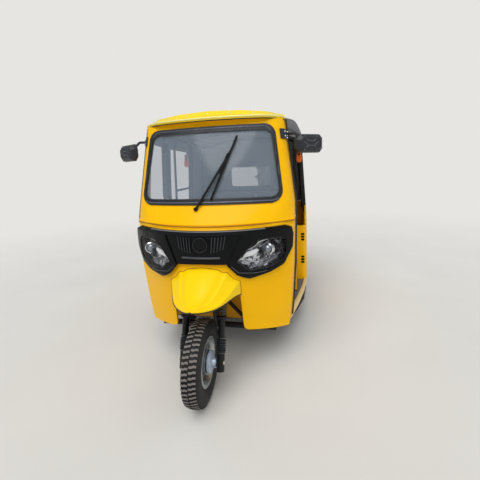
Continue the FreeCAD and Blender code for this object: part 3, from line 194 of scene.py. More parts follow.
chassis_black = finish("satin_chassis_paint", "#1D1D1E", "#111112", 260, 5, 0.45, 0.15,
                       specular_ior_level=0.3)
wear_finish(chassis_black, "chassis_frame", "canopy_frame")
tube_black = finish("gloss_tube_paint", "#161617", "#0C0C0D", 300, 8, 0.25, 0.05, specular_ior_level=0.4)
wear_finish(tube_black, "side_guard_pipes", "rear_bumper")
sill_cream = finish("sprayed_sill_paint", "#F7DC9C", "#E9C878", 220, 6, 0.45, 0.08)
wear_finish(sill_cream, "side_sills")

# Drive parts under the tail: cast alloy engine and gearbox block, steel shafts and arms, and a
# silencer of rolled steel that has dulled with heat. The alloy's coarse grain shows its sand casting.
cast_alloy = finish("sand_cast_alloy", "#9C9C98", "#6E6E6A", 90, 3, 0.55, 0.5, metallic=0.85)
wear_finish(cast_alloy, "engine_block")
dull_steel = finish("dull_forged_steel", "#4A4846", "#2C2A28", 110, 4, 0.5, 0.3, metallic=0.8)
wear_finish(dull_steel, "axle_shafts", "rear_suspension", "silencer")

# Wheels: cross-ply tyres with two rows of hooked lugs, moulded in one piece with the carcass, dusty on
# their tops. The rims are pressed steel in silver paint.
front_axle_y = 1065
axle_z = 247.5


def mm(x, y, z):
    """Millimetres, y measured rearwards from the front axle, as metres in the vehicle's frame."""
    return Vector((x / 1000, y / 1000 - front_axle_y / 1000, z / 1000))


def alone(thing):
    """Makes a piece the only one selected."""
    bpy.ops.object.select_all(action="DESELECT")
    thing.select_set(True)
    bpy.context.view_layer.objects.active = thing
    return thing


def opened():
    """Opens the active mesh with everything selected."""
    bpy.ops.object.mode_set(mode="EDIT")
    bpy.ops.mesh.select_all(action="SELECT")


def closed(outward=False):
    """Closes the mesh, with its faces turned outward where asked."""
    if outward:
        bpy.ops.mesh.select_all(action="SELECT")
        bpy.ops.mesh.normals_make_consistent(inside=False)
    bpy.ops.object.mode_set(mode="OBJECT")


def bevelled(offset, segments):
    """Rounds all edges of the active piece."""
    opened()
    bpy.ops.mesh.bevel(offset=offset, segments=segments)
    closed()


def face_of(points, fill="NGON"):
    """One face, or its bare outline, through points in metres."""
    made = added(bpy.ops.mesh.primitive_circle_add, vertices=len(points), radius=0.1, fill_type=fill)
    for vertex, spot in zip(made.data.vertices, points):
        vertex.co = spot
    return made


def applied(thing, kind, **settings):
    """Adds a modifier to a piece and applies it."""
    step = thing.modifiers.new(kind.lower(), kind)
    for key, value in settings.items():
        setattr(step, key, value)
    alone(thing)
    bpy.ops.object.modifier_apply(modifier=step.name)


def placed(thing, name, body, slot_name):
    """Names a piece and gives it its body; the slot name is not used."""
    thing.name = name
    thing.data.name = name
    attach(thing, body)
    return thing


def wanted(thing, name, body, slot_name, *materials):
    """A finished piece: its place goes into its mesh, its curves are smooth and its edges sharp."""
    alone(thing)
    bpy.ops.object.transform_apply(location=True, rotation=True, scale=True)
    if materials:
        thing.data.materials.clear()
        for material in materials:
            thing.data.materials.append(material)
    bpy.ops.object.shade_smooth_by_angle(angle=math.radians(38))
    return placed(thing, name, body, slot_name)


def lathe(profile, centre, axis, steps):
    """A ring turned about an axis from a closed outline of (along the axis, radius) points in metres."""
    axis = Vector(axis).normalized()
    out = axis.orthogonal().normalized()
    ring = face_of([Vector(centre) + axis * along + out * radius for along, radius in profile], "NOTHING")
    opened()
    bpy.ops.mesh.spin(steps=steps, angle=2 * math.pi, center=centre, axis=axis)
    bpy.ops.mesh.select_all(action="SELECT")
    bpy.ops.mesh.remove_doubles(threshold=0.00001)
    closed(outward=True)
    return ring


def copied(thing, move):
    """A copy with its own mesh, moved by a matrix."""
    twin = thing.copy()
    twin.data = thing.data.copy()
    twin.data.transform(move)
    bpy.context.scene.collection.objects.link(twin)
    return twin


def joined(things):
    """Several meshes as one piece."""
    alone(things[0])
    for thing in things:
        thing.select_set(True)
    bpy.ops.object.join()
    return things[0]


def mirrored(thing):
    """The same piece for the other side, turned right side out again."""
    twin = copied(thing, Matrix.Scale(-1, 4, (1, 0, 0)))
    twin.data.flip_normals()
    return twin


# x across the tyre and radius, from bead over the tread to its middle
tyre_side = [(-37, 127.5), (-37.5, 143.6), (-42, 147), (-43.5, 151), (-42.5, 153), (-47, 160), (-50, 168),
             (-52.3, 178), (-53, 180), (-53, 186), (-52.3, 188), (-52.3, 204), (-51, 212), (-48.5, 220),
             (-43, 227), (-33, 232), (-17, 235), (0, 236)]
tyre_outline = [(x / 1000, r / 1000) for x, r in tyre_side + [(-x, r) for x, r in reversed(tyre_side[:-1])]]
lug_count = 56
# One lug of the left row: x across the tread and the place round it; the right row's lugs are turned
# half round and stand half a pitch on.
lug_outline = [(-43, -8), (-26, -9), (-21, -4), (-4, -4), (-1, 1), (-3, 10), (-20, 10), (-25, 5), (-43, 6)]
lug_root, shoulder_root, lug_height = 0.229, 0.222, 0.0165
tread_top, tread_fall, tread_half = 0.2468, 0.0075, 0.042
rubber = finish("moulded_tyre_rubber", "#2B2A28", "#1C1C1A", 70, 2.5, 0.7, 0.4, specular_ior_level=0.35)
dusty_rubber = finish("dusty_tread_rubber", "#8A837E", "#5D5854", 35, 2.5, 0.85, 0.5)


def tread_lug(outline):
    """One hooked lug that reaches from the shoulder to the middle of the tread, narrower at its top."""
    lug = face_of([(x / 1000, place / 1000, shoulder_root if abs(x) > 40 else lug_root)
                   for x, place in outline])
    opened()
    bpy.ops.mesh.extrude_region_move(TRANSFORM_OT_translate={"value": (0, 0, lug_height)})
    bpy.ops.transform.resize(value=(0.97, 0.86, 1.0))
    shape = bmesh.from_edit_mesh(lug.data)
    for vertex in shape.verts:
        if vertex.select:
            vertex.co.z = tread_top - tread_fall * (vertex.co.x / tread_half) ** 2
    bpy.ops.mesh.inset(thickness=0.0012, depth=0.0006)
    closed(outward=True)
    lug.data.materials.append(rubber)
    lug.data.materials.append(dusty_rubber)
    for face in lug.data.polygons:
        face.material_index = 1 if face.normal.z > 0.5 else 0
    return lug


def tyre(name, x, y, body):
    """Carcass and lugs round a wheel centre."""
    carcass = lathe(tyre_outline, (0, 0, 0), (1, 0, 0), 88)
    carcass.data.materials.append(rubber)
    lugs = []
    for turned, share in ((1, 0.0), (-1, 0.5)):
        first = tread_lug([(turned * x, turned * place) for x, place in lug_outline])
        for step in range(lug_count):
            angle = 2 * math.pi * (step + share) / lug_count
            lugs.append(copied(first, Matrix.Rotation(angle, 4, "X")))
        bpy.data.objects.remove(first)
    whole = joined([carcass] + lugs)
    whole.data.transform(Matrix.Translation(mm(x, y, axle_z)))
    return wanted(whole, name, body, "tyre_rubber")


# columns: where, x, y, body
for where, x, y, body in (("front_tyre", 0, 0, "front_wheel"),
                          ("rear_tyre_left", 590, 2000, "rear_wheel_left"),
                          ("rear_tyre_right", -590, 2000, "rear_wheel_right")):
    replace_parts(tyre("treaded_" + where, x, y, body), where)
rim_silver = finish("silver_painted_pressing", "#BFC4C4", "#9BA1A1", 60, 3, 0.3, 0.12, metallic=0.8)
wear_finish(rim_silver, "front_rim", "rear_rim_left", "rear_rim_right")

# Steering: a black leading fork with chromed springs over its upper tubes and folded boots below,
# bolted to an alloy brake plate; the axle ends carry zinc-plated nuts.
fork_black = finish("gloss_fork_paint", "#141516", "#0B0B0C", 160, 4, 0.28, 0.12, specular_ior_level=0.3)
wear_finish(fork_black, "front_fork")
spring_steel = finish("black_chromed_spring_wire", "#8E9092", "#5B5D60", 30, 3, 0.22, 0.1, metallic=1.0)
wear_finish(spring_steel, "fork_springs")
plate_alloy = finish("painted_brake_alloy", "#C3D0E2", "#A2B0C6", 45, 2.5, 0.4, 0.2, metallic=0.25)
wear_finish(plate_alloy, "front_axle")
bar_black = finish("moulded_grip_rubber", "#29292A", "#1B1B1C", 60, 2, 0.6, 0.35)
wear_finish(bar_black, "handlebar")
zinc = finish("yellow_zinc_plating", "#F2DF9A", "#D6B964", 12, 2, 0.28, 0.1, metallic=1.0)


def hexagon(place, radius, depth, chamfer, segments):
    """A nut or bolt head whose axis lies along x."""
    nut = added(bpy.ops.mesh.primitive_cylinder_add, vertices=6, radius=radius, depth=depth, location=place,
                rotation=(0, math.pi / 2, 0))
    bevelled(chamfer, segments)
    return nut


nuts = [hexagon(mm(x, 0, axle_z), 0.0155, 0.013, 0.0015, 2) for x in (-133, 133)]
wanted(joined(nuts), "front_axle_nuts", "steering", "drive_steel", zinc)


def as_mesh(name, line):
    """A curve turned into a mesh piece."""
    thing = bpy.data.objects.new(name, line)
    bpy.context.scene.collection.objects.link(thing)
    alone(thing)
    bpy.ops.object.convert(target="MESH")
    return bpy.context.object


def path_of(name, points, kind="POLY", ring=False):
    """A curve through points in millimetres, and its one path."""
    line = bpy.data.curves.new(name, "CURVE")
    line.dimensions = "3D"
    path = line.splines.new(kind)
    path.points.add(len(points) - 1)
    for point, spot in zip(path.points, points):
        point.co = tuple(mm(*spot)) + (1.0,)
    path.use_cyclic_u = ring
    return line, path


def tube(name, points, radius, body, slot_name, material, smooth=False, ring=False):
    """A round bar or bead along points in millimetres, as a mesh."""
    line, path = path_of(name, points, "NURBS" if smooth else "POLY", ring)
    if smooth:
        path.order_u = 3
        path.use_endpoint_u = True
    line.bevel_depth = radius / 1000
    line.bevel_resolution = 2
    line.use_fill_caps = not ring
    return wanted(as_mesh(name, line), name, body, slot_name, material)


# Boots and ties: folded rubber boots over the fork's lower tubes and the straps that hold them; the boot
# rubber drifts in small patches between dark rubber and a blue-grey tone that is a painted highlight.
boot_rubber = finish("folded_boot_rubber", "#2A2F38", "#15171B", 14, 2, 0.3, 0.2)
leg_way = (0, 0.32557, 0.94552)
fold_profile = [(-0.005, 0.0245), (-0.001, 0.0305), (0.002, 0.0305), (0.005, 0.0245)]
tie_profile = [(-0.002, 0.0250), (-0.0014, 0.0275), (0.0014, 0.0275), (0.002, 0.0250)]
# columns: name, profile, places up the leg, material
fork_rings = [("fork_boot_folds", fold_profile, (66, 80, 94, 108, 122), boot_rubber),
              ("fork_boot_ties", tie_profile, (56, 141), spring_steel)]
for name, profile, places, material in fork_rings:
    rings = [lathe(profile, mm(x, leg_way[1] * along, axle_z + leg_way[2] * along), leg_way, 28)
             for x in (-115, 115) for along in places]
    wanted(joined(rings), name, "steering", "bar_plastic", material)

# Brake cable: a thin steel cable in a black plastic sheath, clipped from the steering head down to the
# lever on the brake plate.
cable_black = finish("cable_sheath", "#222222", "#151515", 20, 2, 0.5, 0.1)
cable_points = [(36, 150, 560), (60, 92, 500), (80, 70, 430), (84, 62, 350), (82, 50, 270), (76, 40, 205)]
tube("brake_cable", cable_points, 3.4, "steering", "bar_plastic", cable_black, smooth=True)

# Cab shells: apron, cowl with pillars and header, bulkhead, partition, seat boxes and the tub panels are
# pressed steel, welded and baked in one yellow enamel whose tone drifts a little in broad patches. The
# bulkhead stands in shade behind the apron, and a darker copy of the yellow paints that shade on it.
yellow_paint = finish("baked_yellow_enamel", "#FFC800", "#FFB800", 420, 6, 0.36, 0.04,
                      specular_ior_level=0.1, coat_weight=0.06, coat_roughness=0.05)
wear_finish(yellow_paint, "front_apron", "windscreen_frame", "rear_quarter_left", "rear_quarter_right",
            "rear_panel", "engine_lid", "seat_box", "driver_seat_box", "cab_partition")
# A darker copy of the yellow enamel: painted shade on the bulkhead, which stands behind the apron.
inner_yellow_painted_shade = finish("painted_shade_inner_enamel", "#F3B21C", "#DD9A10", 300, 5, 0.45, 0.08, specular_ior_level=0.2)
wear_finish(inner_yellow_painted_shade, "front_bulkhead")

# columns: z, nose y, bow x, bow y, side x, side y, door x
cab_rows = [
    (283.0, 165.0, 330.0, 270.0, 515.0, 415.0, 530.0),
    (450.0, 140.0, 345.0, 250.0, 530.0, 400.0, 545.0),
    (720.0, 95.0, 365.0, 225.0, 545.0, 375.0, 560.0),
    (1000.0, 125.0, 380.0, 245.0, 553.0, 385.0, 566.0),
    (1040.0, 150.0, 385.0, 262.0, 555.0, 390.0, 567.0),
    (1160.0, 255.0, 430.0, 330.0, 553.0, 425.0, 565.0),
    (1720.0, 425.0, 380.0, 455.0, 490.0, 515.0, 500.0),
]
door_edge_y = 560


def row_at(rows, value):
    """The table row at a first-column value, between its neighbours."""
    for low, high in zip(rows, rows[1:]):
        if value <= high[0]:
            break
    share = min(1, max(0, (value - low[0]) / (high[0] - low[0])))
    return [a + (b - a) * share for a, b in zip(low, high)]


def nose_y(x, z, proud=0.0):
    """Where the cab's nose stands at x and z, or a surface proud of it."""
    nose, bow_x, bow_y = row_at(cab_rows, z)[1:4]
    depth = bow_y - nose
    radius = (bow_x ** 2 + depth ** 2) / (2 * depth)
    return nose + radius - math.sqrt((radius + proud) ** 2 - x ** 2)


def side_x(y, z, proud=0.0):
    """Where the cab's side stands between its corner and the door edge."""
    row = row_at(cab_rows, z)
    share = (y - row[5]) / (door_edge_y - row[5])
    return row[4] + (row[6] - row[4]) * share + proud


def across(z, proud, count=40):
    """Points round the nose from the right corner to the left one at one height."""
    bow = row_at(cab_rows, z)[2]
    places = [bow * (2 * i / count - 1) for i in range(count + 1)]
    return [(x, nose_y(x, z, proud), z) for x in places]


def round_corner(z, proud, count=8):
    """Points from the bow round the left corner to its side, then back to the door edge."""
    nose, bow_x, bow_y, flank_x, flank_y, door_x = row_at(cab_rows, z)[1:7]
    depth = bow_y - nose
    radius = (bow_x ** 2 + depth ** 2) / (2 * depth)
    slope = bow_x / (nose + radius - bow_y)
    lean = (door_x - flank_x) / (door_edge_y - flank_y)
    corner_x = (flank_x - lean * flank_y + lean * (bow_y - slope * bow_x)) / (1 - lean * slope)
    corner_y = bow_y + slope * (corner_x - bow_x)
    a, b = Vector((bow_x, bow_y)), Vector((flank_x, flank_y))
    c = a * 0.25 + Vector((corner_x, corner_y)) * 0.5 + b * 0.25
    control = c * 2 - (a + b) * 0.5
    found = []
    for i in range(1, count + 1):
        t = i / count
        spot = a * (1 - t) ** 2 + control * 2 * t * (1 - t) + b * t ** 2
        away = (spot - Vector((0, 700))).normalized() * proud
        found.append((spot.x + away.x, spot.y + away.y, z))
    found.append((side_x(530, z, proud), 530.0, z))
    return found


def round_cab(z, proud):
    """The whole way round the cab's front at one height, door edge to door edge."""
    left = round_corner(z, proud)
    return [(-x, y, z) for x, y, z in reversed(left)] + across(z, proud) + left


# Beads and joints: the cowl is lapped over the apron above the mask, with a rolled bead and, below it, an
# amber line of painted shade in the lap joint; a rolled edge and an extruded black seal run up each door
# opening.
seal_black = finish("extruded_seal_rubber", "#1D1F22", "#121315", 60, 2, 0.45, 0.25)
joint_black = finish("black_joint_sealer", "#241C10", "#120D06", 30, 2, 0.7, 0.2)
joint_painted_shade = finish("painted_shade_joint_line", "#B87E08", "#9A6604", 30, 2, 0.7, 0.2)
paint_bead = ("body", "body_paint", yellow_paint)
seal_bead = ("body", "seal_rubber", seal_black)
tube("cowl_foot_bead", round_cab(1049, 1.0), 4.5, *paint_bead)
tube("cowl_foot_joint", round_cab(1040.5, 2.2), 4.2, "body", "seal_rubber", joint_painted_shade)
tube("apron_head_bead", round_cab(1032, 0.5), 3.5, *paint_bead)
door_heights = [286, 360, 450, 600, 720, 860, 1000, 1040, 1100, 1160, 1300, 1450, 1600, 1712]
above_apron, up_to_cowl = door_heights[7:], door_heights[:7]
# columns: name, y at which the side is read, outward step, y, heights, radius, kind
door_beads = [
    ("door_edge_roll_", 556, -2, 557, door_heights, 5.0, paint_bead),
    ("door_seal_", 560, 6, 566, door_heights, 8.0, seal_bead),
    ("door_edge_seal_", 546, 0.2, 545, door_heights, 2.2, ("body", "seal_rubber", joint_black)),
    ("pillar_fold_", 512, -2.2, 512, above_apron, 4.5, paint_bead),
    ("apron_fold_", 505, -2.4, 505, up_to_cowl, 4.5, paint_bead),
]
for flip, where in ((-1, "right"), (1, "left")):
    for name, read_y, out, y, heights, radius, kind in door_beads:
        tube(name + where, [(flip * (side_x(read_y, z) + out), y, z) for z in heights], radius, *kind)
welt_run = [(row_at(cab_rows, z)[4:6], z) for z in range(1056, 1711, 50)]
tube("pillar_welt_right", [(-(x + 2.5), y + 6, z) for (x, y), z in welt_run], 6.0, *seal_bead)

# Wiper: a moulded arm over a jointed blade, pushed on a spindle in the cowl; its black is a little glossier
# than the mask's. Places are (x, z) on the glass.
trim = ("body", "trim_plastic")
wiper_black = finish("moulded_wiper_arm", "#101112", "#08090A", 40, 2, 0.35, 0.15, specular_ior_level=0.3)
wear_finish(wiper_black, "wiper")
blade_line = [(36, 1200), (88, 1330), (142, 1466), (196, 1600)]
yoke_line = [(88, 1362), (115, 1430), (142, 1494)]
tube("wiper_arm_cover", [(-52, nose_y(52, 1156, 17), 1156), (34, nose_y(34, 1297, 18), 1297),
                         (115, nose_y(115, 1430, 20), 1430)], 8.0, *trim, wiper_black)
tube("wiper_blade_body", [(x, nose_y(x, z, 12), z) for x, z in blade_line], 7.5, *trim, wiper_black)
tube("wiper_yoke", [(x, nose_y(x, z, 20), z) for x, z in yoke_line], 6.0, *trim, wiper_black)


# Mask: one satin black moulding, clipped to the apron, with a light grain. Its ledge line is a thin moulded
# bead painted pale grey as a painted highlight, and the fins, the boss, the lamp lips and the slot blade
# carry grey painted highlights.
def past_bow(x, z, proud, slope=1.15):
    """A place on the nose, carried on past its bow into the corner at a slope."""
    bow = row_at(cab_rows, z)[2]
    return x, nose_y(min(x, bow), z, proud) + max(0, x - bow) * slope, z


def divided(line, parts, steps):
    """Points along a line of (u, v) points, with each stretch cut in equal parts."""
    return [(u0 + (u1 - u0) * step / parts, v0 + (v1 - v0) * step / parts)
            for (u0, v0), (u1, v1) in zip(line, line[1:]) for step in range(steps)]


mask_black = finish("satin_grained_moulding", "#0D0E10", "#070809", 200, 1.8, 0.3, 0.15,
                    specular_ior_level=0.16)
wear_finish(mask_black, "front_mask")
grey_edge_painted_highlight = finish("painted_highlight_moulding_edge", "#5C6064", "#46494D", 60, 2, 0.35, 0.1)
pale_ledge_painted_highlight = finish("painted_highlight_moulding_ledge", "#8B9094", "#6D7276", 120, 2, 0.35, 0.1)
dark_edge_painted_highlight = finish("dim_painted_highlight_edge", "#34373A", "#26282A", 60, 2, 0.35, 0.1)
slot_blade_painted_highlight = finish("painted_highlight_slot_blade", "#454950", "#36393F", 120, 2, 0.4, 0.1)
# The ledge bead's pale grey is a painted highlight on the upward-facing ledge.
tube("mask_ledge_bead", [(x, nose_y(x, 1016, 19), 1016) for x in range(-380, 381, 20)], 3.4, *trim,
     pale_ledge_painted_highlight)
boss_z, boss_reach, ring_steps = 942, 44, 48
boss_y = nose_y(0, boss_z, 32) - 0.5
boss_turns = [2 * math.pi * step / ring_steps for step in range(ring_steps)]
boss_ring = [(boss_reach * math.cos(a), boss_y, boss_z + boss_reach * math.sin(a)) for a in boss_turns]
tube("mask_boss_ring", boss_ring, 1.4, *trim, dark_edge_painted_highlight, ring=True)
# A thin blade in the slot, grey as a painted highlight, so that the slot reads as a light line.
tube("mask_slot_blade", [(x, nose_y(x, 861, 18.5), 860.5) for x in range(-122, 123, 12)], 8.0, *trim,
     slot_blade_painted_highlight)
# each fin stands between two gills, from its top to its foot in (x, z)
fin_lines = [[(72, 986), (65, 890)], [(92, 987), (83, 895)], [(112, 988), (101, 900)],
             [(132, 989), (119, 906)], [(151, 990), (137, 912)]]
fins = [tube("mask_gill_fin", [(flip * x, nose_y(x, z, 24), z) for x, z in divided(line, 6, 7)], 3.4, *trim,
             dark_edge_painted_highlight) for flip in (-1, 1) for line in fin_lines]
wanted(joined(fins), "mask_gill_fins", *trim)
pocket_line = [(186, 806), (226, 767), (316, 754), (394, 752), (466, 763)]
pocket_edge = [past_bow(x, z, 31.5, 1.1) for x, z in divided(pocket_line, 6, 6)]
lips = [tube("mask_lamp_lip", [(flip * x, y, z) for x, y, z in pocket_edge], 2.0, *trim, grey_edge_painted_highlight)
        for flip in (-1, 1)]
wanted(joined(lips), "mask_lamp_lips", *trim)

# Headlamps: a smoked housing holds a metallised reflector with a projector, a light bar and moulded
# flutes, all behind a clear hard-coated lens. The cells of the reflector stand for its pressed facets, each
# cell painted bright or dark as a painted reflection; the projector's dome carries painted reflections in
# light and dark spots.
smoked = finish("smoked_lamp_bezel", "#1C191F", "#0E0C10", 60, 4, 0.2, 0.05, specular_ior_level=0.4)
wear_finish(smoked, "headlamp_housings")
lens_clear, tree, shader, place = blank("hard_coated_clear_lens")
haze = node(tree, "ShaderNodeTexNoise", inputs={"Scale": 14.0, "Detail": 3.0}, links={"Vector": place})
smear = node(tree, "ShaderNodeMapRange", inputs={"To Min": 0.02, "To Max": 0.09},
             links={"Value": haze.outputs["Fac"]})
feed(tree, shader, roughness=smear.outputs["Result"])
gloss(shader, base_color=linear("#1E1B22"), alpha=0.09, coat_weight=1.0, coat_roughness=0.03)
wear_finish(lens_clear, "headlamp_lenses")
reflector, tree, shader, place = blank("metallised_facets")
facets = node(tree, "ShaderNodeTexVoronoi", {"feature": "F1"}, {"Scale": 62.0}, {"Vector": place})
split = node(tree, "ShaderNodeSeparateColor", links={0: facets.outputs["Color"]})
steps = node(tree, "ShaderNodeMapRange", {"interpolation_type": "SMOOTHSTEP"},
             {"From Min": 0.25, "From Max": 0.95}, {"Value": split.outputs[0]})
facet_painted_reflections = node(tree, "ShaderNodeMix", {"data_type": "RGBA"}, {6: linear("#5A5D64"), 7: linear("#EEF0F5")},
             {0: steps.outputs["Result"]})
dents = node(tree, "ShaderNodeBump", inputs={"Strength": 0.7, "Distance": 0.004},
             links={"Height": facets.outputs["Distance"]})
feed(tree, shader, base_color=facet_painted_reflections.outputs[2], normal=dents.outputs["Normal"])
gloss(shader, metallic=0.8, roughness=0.22)
chrome = finish("bright_metallising", "#E6E8EB", "#C3C7CC", 40, 5, 0.1, 0.05, metallic=1.0)
lit_bar = finish("frosted_light_bar", "#FFFFFF", "#F6F8FA", 30, 3, 0.2, 0.02)
dome_glass, tree, shader, place = blank("projector_dome")
rings = node(tree, "ShaderNodeTexNoise", inputs={"Scale": 60.0}, links={"Vector": place})
dome_painted_reflections = node(tree, "ShaderNodeMix", {"data_type": "RGBA"}, {6: linear("#4E535A"), 7: linear("#AEB4BD")},
             {0: rings.outputs["Fac"]})
feed(tree, shader, base_color=dome_painted_reflections.outputs[2])
gloss(shader, roughness=0.04, metallic=0.55, coat_weight=1.0)


def facing(thing, way):
    """Turns a piece's faces over where most of them look away from a way along y."""
    if sum(face.normal.y for face in thing.data.polygons) * way < 0:
        thing.data.flip_normals()


bowl_x, bowl_z, bowl_radius, bowl_depth = 394, 886, 62, 20
reflector_outline = [(214, 826), (241, 862), (262, 890), (312, 912), (337, 934), (397, 950), (466, 952),
                     (496, 926), (500, 880), (494, 840), (466, 800), (412, 780), (331, 776), (288, 774),
                     (262, 806)]
sheet = face_of([mm(x, 0, z) for x, z in reflector_outline])
opened()
bpy.ops.mesh.inset(thickness=0.012, depth=0)
bpy.ops.mesh.select_all(action="SELECT")
bpy.ops.mesh.quads_convert_to_tris()
bpy.ops.mesh.subdivide(number_cuts=5)
closed()
for vertex in sheet.data.vertices:
    x, z = vertex.co.x * 1000, vertex.co.z * 1000
    sink = bowl_depth * max(0, 1 - (math.hypot(x - bowl_x, z - bowl_z) / bowl_radius) ** 2)
    flute = 2.5 * math.sin((x * 0.45 - z) / 7.5) if z < 850 else 0
    vertex.co = mm(*past_bow(x, z, 6.0 - sink + flute))

opened()
closed(outward=True)
facing(sheet, -1)
sheet.data.materials.append(reflector)
dome_y = nose_y(370, bowl_z, 14.0) + 22
bezel = lathe([(0, 0.030), (0.004, 0.037), (0.018, 0.039), (0.020, 0.036), (0.006, 0.030)],
              mm(bowl_x, dome_y - 14, bowl_z), (0.42, 1, 0), 40)
bezel.data.materials.append(chrome)
dome_place = mm(bowl_x, dome_y, bowl_z)
dome = added(bpy.ops.mesh.primitive_uv_sphere_add, segments=32, ring_count=16, radius=0.031,
             location=dome_place)
opened()
bpy.ops.mesh.bisect(plane_co=dome_place, plane_no=(0, 1, 0), clear_outer=True, use_fill=True)
closed()
dome.data.materials.append(dome_glass)
# columns: line in (x, z), radius
lamp_lines = [
    ([(337, 938), (397, 949), (469, 950)], 4.5),
    ([(214, 826), (241, 862), (262, 890), (312, 912)], 2.6),
    ([(283, 781), (343, 796), (436, 811), (481, 865)], 2.6),
    ([(247, 829), (319, 817), (397, 826)], 2.4),
    ([(436, 868), (478, 916)], 3.0),
    ([(445, 820), (487, 841)], 2.2),
    ([(331, 784), (415, 802), (466, 829)], 2.0),
    ([(300, 800), (360, 812), (430, 838)], 2.0),
    ([(344, 905), (400, 932), (455, 936)], 2.2),
]
lines = [tube("lamp_line", [past_bow(x, z, 13.0) for x, z in divided(line, 6, 7)], radius, "body",
              "lamp_reflector", chrome) for line, radius in lamp_lines]
light_guide = [(245, 850), (266, 882), (331, 897), (342, 884), (310, 860)]
guide = face_of([mm(x, nose_y(x, z, 17.0), z) for x, z in light_guide])
opened()
bpy.ops.mesh.extrude_region_move(TRANSFORM_OT_translate={"value": (0, 0.012, 0)})
bpy.ops.mesh.select_all(action="SELECT")
bpy.ops.mesh.normals_make_consistent(inside=False)
bpy.ops.mesh.bevel(offset=0.002, segments=2)
closed()
guide.data.materials.append(lit_bar)
lamp_left = joined([sheet, bezel, dome] + lines + [guide])
for lamp_set, where in ((lamp_left, "left"), (mirrored(lamp_left), "right")):
    placed(lamp_set, "headlamp_optics_" + where, "body", "lamp_reflector")

# Windscreen: one laminated pane in a black rubber channel, with a locking strip whose blue-grey colour is a
# painted sky reflection. The pane carries a blue-grey veil, partly haze and partly painted sky reflection,
# and thin dust on the glass changes its gloss from place to place.
screen_glass, tree, shader, place = blank("laminated_screen_glass")
dust = node(tree, "ShaderNodeTexNoise", inputs={"Scale": 3.0, "Detail": 4.0}, links={"Vector": place})
dusty = node(tree, "ShaderNodeMapRange", inputs={"To Min": 0.03, "To Max": 0.12},
             links={"Value": dust.outputs["Fac"]})
feed(tree, shader, roughness=dusty.outputs["Result"])
# The blue-grey base at part opacity is haze on the glass and painted sky reflection.
gloss(shader, base_color=linear("#8E9BA9"), alpha=0.36)
wear_finish(screen_glass, "windscreen_glass")
wear_finish(seal_black, "windscreen_seal")
locking_strip_painted_reflection = finish("painted_sky_reflection_locking_strip", "#5E6A7C", "#46505F", 90, 4, 0.25, 0.1, coat_weight=0.4)
corner_radius = 62
screen_ring = []
# columns: corner x, corner z, direction of its middle from there, turn at which its arc starts
for x, z, inward, start in ((483, 1180, 1, -90), (423, 1660, -1, 0), (-423, 1660, -1, 90),
                            (-483, 1180, 1, 180)):
    for step in range(9):
        angle = math.radians(start + 90 * step / 8)
        screen_ring.append((x - math.copysign(corner_radius, x) + corner_radius * math.cos(angle),
                            z + corner_radius * inward + corner_radius * math.sin(angle)))


def on_screen(x, z, proud=6.5):
    """A place on the windscreen's frame, on the nose or round its corner."""
    if abs(x) < row_at(cab_rows, z)[2]:
        return x, nose_y(abs(x), z, proud), z
    return x, min(round_corner(z, proud, 24), key=lambda spot: abs(spot[0] - abs(x)))[1], z


strip_line = []
for (x0, z0), (x1, z1) in zip(screen_ring, screen_ring[1:] + screen_ring[:1]):
    pieces = max(1, round(math.hypot(x1 - x0, z1 - z0) / 40))
    strip_line += [on_screen(x, z) for x, z in divided([(x0, z0), (x1, z1)], pieces, pieces)]
tube("seal_locking_strip", strip_line, 4.6, "body", "seal_rubber", locking_strip_painted_reflection, ring=True)

# Door post covers and air vents: a yellow pressed strip hides the foot of each door post, and two sets of
# three black moulded louvres sit in the front corner of each side panel.
vent_sets, vent_pitch = (725, 500), 27


def slab(place, size, turn=0.0):
    """A block with its size in its mesh, as the only piece selected."""
    made = added(bpy.ops.mesh.primitive_cube_add, size=1, location=place, rotation=(0, 0, turn), scale=size)
    bpy.ops.object.transform_apply(location=False, rotation=False, scale=True)
    return made


for flip, where in ((1, "left"), (-1, "right")):
    strip = slab(mm(flip * 553, 949.5, 640), (0.046, 0.009, 0.66))
    bevelled(0.003, 3)
    wanted(strip, "door_post_cover_" + where, *paint_bead)
    vents = []
    for z in [middle + step * vent_pitch for middle in vent_sets for step in (-1, 0, 1)]:
        vent = slab(mm(flip * 638, 1241.0, z), (0.030, 0.007, 0.019), flip * 0.08)
        opened()
        shape = bmesh.from_edit_mesh(vent.data)
        for face in shape.faces:
            face.select_set(face.normal.y < -0.5)
        shape.select_flush_mode()
        bpy.ops.mesh.inset(thickness=0.003, depth=-0.003)
        bpy.ops.mesh.select_all(action="SELECT")
        bpy.ops.mesh.bevel(offset=0.0008, segments=1)
        closed()
        vents.append(vent)
    wanted(joined(vents), "side_panel_vents_" + where, *trim, mask_black)

# Dashboard: a dark grey plastic moulding with two open lockers and an instrument hood, screwed to the
# bulkhead; its coarse grain keeps it dull.
dash_grey = finish("grained_dash_moulding", "#3A3B3D", "#2A2B2D", 120, 2.2, 0.6, 0.5)
wear_finish(dash_grey, "dashboard")

